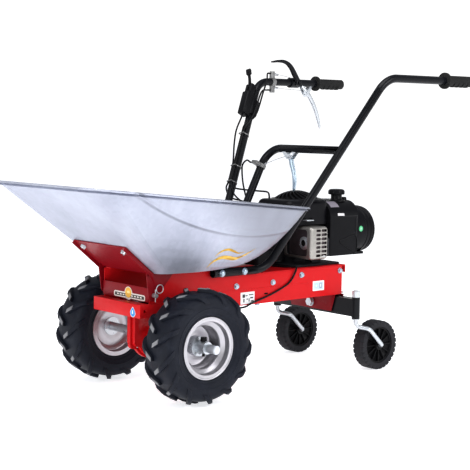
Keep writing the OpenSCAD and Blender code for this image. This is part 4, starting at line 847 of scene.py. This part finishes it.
# ---- Castor wheels ----
# Two small press-on wheels: a moulded rim and a solid rubber tyre with a plain round crown and short
# cross bars along both shoulders.
castor_rubber = moulded("castor_rubber", (0.020, 0.020, 0.023), 0.55, 4.0)
castor_bars = 28
crown_half = [(59.3, -20), (66, -21), (72, -21.4), (76.6, -19.6), (78.6, -15), (79.5, -7)]
castor_section = crown_half + [(79.6, 0)] + [(r, -x) for r, x in reversed(crown_half)]
for side, name in ((1, "left"), (-1, "right")):
    hub_place = at(184 * side, 766, 80)
    tyre = turned(castor_section, hub_place, 80)
    bars = []
    bar = block((-0.0220, -0.0068, 0.0690), (-0.0090, 0.0068, 0.0792))
    alone(bar)
    bpy.ops.object.transform_apply(location=True, rotation=False, scale=False)
    round_edges(bar, 1.9, 1.0, 30)
    for i in range(castor_bars):
        for flip in (0, 1):
            one = bar.copy()
            one.data = bar.data.copy()
            bpy.context.collection.objects.link(one)
            round_tyre = Matrix.Rotation(math.tau * (i + flip / 2) / castor_bars, 4, "X")
            one.data.transform(round_tyre @ Matrix.Rotation(math.pi * flip, 4, "Z"))
            one.location = hub_place
            bars.append(one)
    bpy.data.objects.remove(bar)
    settle(welded(tyre, *bars), "castor_tread_" + name, "castor_wheel_" + name, "castor_tyre", castor_rubber,
           "castor_tyre_" + name, angle=35)

# ---- Tyre valves ----
# A rubber stem with a screwed cap is pulled through the outer half of each drive rim, behind the hub,
# and turns with the wheel.
for side, name in ((1, "left"), (-1, "right")):
    stem = turned([(0, 0), (7.5, 0), (7.5, 3), (4.8, 6), (4.3, 14), (4.3, 15), (5.4, 16), (5.4, 27),
                   (4.4, 28.5), (0, 28.5)], at(side * 201, 44, 160), 24)
    if side < 0:
        stem.rotation_euler = (0, 0, math.pi)
    settle(stem, "tyre_valve_" + name, "drive_axle", "rubber_tyre", castor_rubber)

# ---- Side plate line and slot ----
# The web of the left side plate has one long pressed line, and between the two labels a small slot
# that lets water out.
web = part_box("chassis_side_left")[1][0] * 1000
fold_line = wire([at(web, 150, 291), at(web, 330, 291), at(web, 535, 291)], 0.7)
settle(fold_line, "side_fold_line", "chassis", "red_paint", red_coat)
# The slot is a thin near-black plate on the web: painted shade for the hole.
settle(rounded_box((web - 0.2, 345, 269.5), (web + 0.3, 360, 274), 2, axis=0), "side_drain_slot", "chassis",
       "red_paint", painted_shade_black)

# ---- Labels ----
# Thin printed plates and stickers with blank marks: a white pictogram and a grey one on the left side
# plate, a badge on the front plate, a round-edged drop on the bumper, a green mark on the air filter.
def printed(name, ground, *marks):
    """A printed face: marks hold a colour and its limits in millimetres, as axis, low and high."""
    sheet = Finish(name, Roughness=0.35, Specular_IOR_Level=0.3)
    axes = sheet.axes()
    tint = sheet.blend(sheet.noise(60, 3), ground, tuple(c * 0.94 for c in ground))
    for colour, limits in marks:
        inside = 1.0
        for axis, low, high in limits:
            place = axes[axis] * 1000 - (axle.y * 1000 if axis == 1 else 0)
            inside = inside * (place > low) * (place < high)
        tint = sheet.blend(inside, tint, colour)
    return sheet.feed(Base_Color=tint).material


white, ink, pale_blue = (0.78, 0.79, 0.80), (0.05, 0.05, 0.05), (0.42, 0.60, 0.72)
ink_marks = [(258, 268, 266, 276), (261, 266, 252, 263), (274, 279, 259, 263), (283, 301, 272, 275),
             (288, 300, 262, 266), (282, 286, 253, 263), (291, 303, 252, 256), (270, 278, 270, 273)]
pictogram = printed("white_pictogram", white, *[(ink, ((1, a, b), (2, c, d))) for a, b, c, d in ink_marks])
plate = rounded_box((web + 0.05, 250, 246), (web + 0.45, 306, 282.5), 1.5, axis=0)
settle(plate, "side_pictogram", "chassis", "red_paint", pictogram)
slate = (0.30, 0.38, 0.46)
grey_marks = [(white, 551, 555, 262, 295), (white, 597, 601, 262, 295), (white, 551, 601, 262, 266),
              (white, 551, 601, 290, 294), (pale_blue, 560, 574, 272, 286), (slate, 580, 592, 270, 287),
              (white, 564, 570, 276, 282), (white, 584, 588, 274, 284)]
grey_plate = printed("grey_pictogram", (0.55, 0.63, 0.70),
                     *[(colour, ((1, a, b), (2, c, d))) for colour, a, b, c, d in grey_marks])
plate = rounded_box((web + 0.05, 551, 262.5), (web + 0.45, 601, 293.8), 1.5, axis=0)
settle(plate, "side_data_plate", "chassis", "red_paint", grey_plate)

face = (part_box("front_plate")[0][1] - axle.y) * 1000
silver, dark_band = (0.72, 0.71, 0.66), (0.035, 0.04, 0.03)
band = printed("badge_print", silver, (dark_band, ((0, -50, 92), (2, 288, 297))),
               *[(silver, ((0, a, a + 9), (2, 290.4, 294.6))) for a in range(-40, 86, 14)])
badge = welded(rounded_box((-55, face - 0.5, 284), (97, face - 0.05, 301), 6, axis=1),
               lengthways([(0, 0), (19, 0), (19, 0.4), (0, 0.4)], at(17, face - 0.9, 299), 40))
settle(badge, "front_badge", "chassis", "red_paint", band)
gold = printed("gold_print", (0.75, 0.45, 0.06), ((0.85, 0.70, 0.30), ((0, 10, 24), (2, 299, 306))))
disc = lengthways([(0, 0), (15, 0), (15, 0.4), (0, 0.4)], at(17, face - 1.3, 301), 40)
settle(disc, "front_badge_disc", "chassis", "red_paint", gold)

nose = (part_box("front_bumper")[0][1] - axle.y) * 1000
drop_edge = printed("drop_edge", white)
drop_blue = printed("drop_blue", (0.05, 0.28, 0.62), (white, ((0, 78, 83), (2, 250, 260))))
for name, radius, proud, paint in (("bumper_drop_edge", 12.5, 0.5, drop_edge),
                                   ("bumper_drop", 10.8, 0.9, drop_blue)):
    drop = lengthways([(0, 0), (radius, 0), (radius, 0.4), (0, 0.4)], at(81, nose - proud, 253), 48)
    alone(drop)
    bpy.ops.object.transform_apply(location=False, rotation=True, scale=False)
    for point in drop.data.vertices:
        lift = max(point.co.z * 1000 / radius, 0)
        point.co.z *= 1 + 0.35 * lift ** 3
        point.co.x *= 1 - 0.35 * lift ** 2
    settle(drop, name, "chassis", "red_paint", paint)

seal = turned([(0, 0.6), (8.8, 0.6), (9.4, 0.1), (9.4, -1.2), (0, -1.2)], at(79, 801, 446), 40)
green_print = printed("green_print", (0.10, 0.50, 0.24), (white, ((1, 798, 799.3), (2, 441, 451))),
                      (white, ((1, 802.7, 804), (2, 441, 451))), (white, ((1, 798, 804), (2, 445.4, 446.8))))
settle(seal, "filter_mark", "chassis", "black_plastic", green_print, angle=20)

# ---- Tub mark ----
# The yellow mark low on the tub's left side is two plain tapering strokes, printed on the sheet. Each
# point of a stroke has its distance back, its height and half its width.
stroke_x = 290
upper_stroke = [(62, 376, 0.5), (74, 396, 3.2), (96, 407, 5.2), (126, 404, 5.6), (158, 399, 4.6),
                (190, 408, 2.8), (222, 426, 0.4)]
lower_stroke = [(70, 412, 0.4), (84, 426, 2.6), (104, 431, 3.4), (132, 424, 2.8), (160, 416, 1.6),
                (182, 419, 0.4)]
strokes = []
for run in (upper_stroke, lower_stroke):
    line = bpy.data.curves.new("stroke", "CURVE")
    line.dimensions = "3D"
    line.bevel_depth, line.bevel_resolution = 0.001, 0
    spline = line.splines.new("BEZIER")
    spline.bezier_points.add(len(run) - 1)
    for knot, (y, z, half) in zip(spline.bezier_points, run):
        knot.co, knot.radius = at(stroke_x, y, z), half
        knot.handle_left_type = knot.handle_right_type = "AUTO"
    spline.resolution_u = 8
    stroke = bpy.data.objects.new("stroke", line)
    bpy.context.collection.objects.link(stroke)
    alone(stroke)
    bpy.ops.object.convert(target="MESH")
    strokes.append(bpy.context.object)
tube = welded(*strokes)
to_middle = Matrix.Translation((stroke_x / 1000, 0, 0))
tube.data.transform(to_middle @ Matrix.Diagonal((0.02, 1, 1, 1)) @ to_middle.inverted())
wrap = tube.modifiers.new("onto_tub", "SHRINKWRAP")
wrap.target = frame["nodes"]["tub"]
wrap.wrap_method = "PROJECT"
wrap.use_project_x, wrap.use_project_y, wrap.use_project_z = True, False, False
wrap.use_negative_direction, wrap.use_positive_direction = True, False
wrap.offset = 0.0005
bpy.ops.object.modifier_apply(modifier="onto_tub")
yellow_print = printed("yellow_print", (0.80, 0.52, 0.09))
settle(tube, "tub_brush_stroke", "load_tub", "galvanised", yellow_print, angle=60)

# ---- Levers ----
# The drive and reverse levers are zinc-plated steel stampings with rolled edges, and the safety lever is
# a black casting. Each turns on a round boss at its pivot.
def lever(name, body, slot, material, line, flat, boss):
    """A tapering lever: line holds [place, half width], flat says how thin it is and across which axis."""
    axis, share = flat
    curve = bpy.data.curves.new("lever", "CURVE")
    curve.dimensions = "3D"
    curve.bevel_depth, curve.bevel_resolution, curve.use_fill_caps = 0.001, 5, True
    spline = curve.splines.new("BEZIER")
    spline.bezier_points.add(len(line) - 1)
    for knot, (place, half) in zip(spline.bezier_points, line):
        knot.co, knot.radius = place, half
        knot.handle_left_type = knot.handle_right_type = "AUTO"
    spline.resolution_u = 12
    piece = bpy.data.objects.new("lever", curve)
    bpy.context.collection.objects.link(piece)
    alone(piece)
    bpy.ops.object.convert(target="MESH")
    piece = bpy.context.object
    middle = line[0][0][axis]
    for point in piece.data.vertices:
        point.co[axis] = middle + (point.co[axis] - middle) * share
    settle(welded(piece, boss), name + "_stamping", body, slot, material, name, angle=50)


pivot_x, drive_y, drive_z = -296, 897, 899
boss = turned([(6.6, -5), (9.5, -5), (10, -4.5), (10, 4.5), (9.5, 5), (6.6, 5)],
              at(pivot_x, drive_y, drive_z), 40)
lever("drive_lever", "drive_clutch", "silver_steel", bright_zinc,
      [(at(pivot_x, drive_y + y, drive_z + z), half) for y, z, half in (
          (-8, -12, 5), (7, -6, 8.6), (24, -22, 9.2), (48, -58, 8.6), (64, -96, 7.4), (71.4, -121, 5),
          (72.6, -127, 3))],
      (0, 0.74), boss)
safety_x, safety_y, safety_z = -272.7, 840, 931
boss = turned([(6.6, -5.5), (11, -5.5), (12, -4.5), (12, 4.5), (11, 5.5), (6.6, 5.5)],
              at(safety_x, safety_y, safety_z), 40)
lever("safety_lever", "safety_stop", "black_paint", black_coat,
      [(at(safety_x, safety_y + y, safety_z + z), half) for y, z, half in (
          (-6, 9, 10), (-20, 28, 10.4), (-41, 55, 9), (-64, 68.5, 6.6), (-96, 71, 4.6), (-122, 68, 3.2),
          (-131, 67, 2))],
      (0, 0.78), boss)
back_x, back_y, back_z = 6, 545.1, 684
boss = lengthways([(6.6, -4.8), (9.5, -4.8), (10, -4.3), (10, 4.3), (9.5, 4.8), (6.6, 4.8)],
                  at(back_x, back_y, back_z), 40)
lever("reverse_lever", "reverse_control", "zinc", blue_zinc,
      [(at(back_x + x, back_y, back_z + z), half) for x, z, half in (
          (-10, 4, 6), (2, -7, 8.6), (8, -26, 9), (17, -52, 8), (21, -79, 7.6), (18.6, -103, 5.6),
          (17.6, -110, 3))],
      (1, 0.74), boss)

# ---- Lever wires ----
# Each lever pulls a thin bare wire out of its black sleeve; a zinc barrel with a lock nut sets the slack.
steel_wire = zinc_plate("bare_wire", (0.55, 0.56, 0.58), (0.35, 0.36, 0.38))
runs = {"drive": [at(-296, 742, 912), at(-296, 800, 908), at(-296, 868, 905), at(-296, 888, 903)],
        "safety": [at(-296, 742, 958), at(-293, 790, 953), at(-286, 830, 944)],
        "reverse": [at(-100, 516, 652), at(-60, 527, 668), at(-20, 540, 682), at(-2, 545, 685)]}
for name, run in runs.items():
    barrel = turned([(0, -4), (2.0, -4), (3.6, -3), (3.6, 2), (5.2, 2.4), (5.2, 6.4), (3.6, 6.8), (3.6, 20),
                     (2.2, 21), (0, 21)], (0, 0, 0), 16)
    barrel.rotation_euler = (run[1] - run[0]).to_track_quat("X", "Z").to_euler()
    barrel.location = run[0]
    alone(barrel)
    bpy.ops.object.transform_apply(location=True, rotation=True, scale=False)
    settle(welded(wire(run, 0.9), barrel), name + "_wire", "chassis", "cable", steel_wire)

size = {"cad": [list(c) for c in cad_box], "visual": [list(c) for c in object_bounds()]}
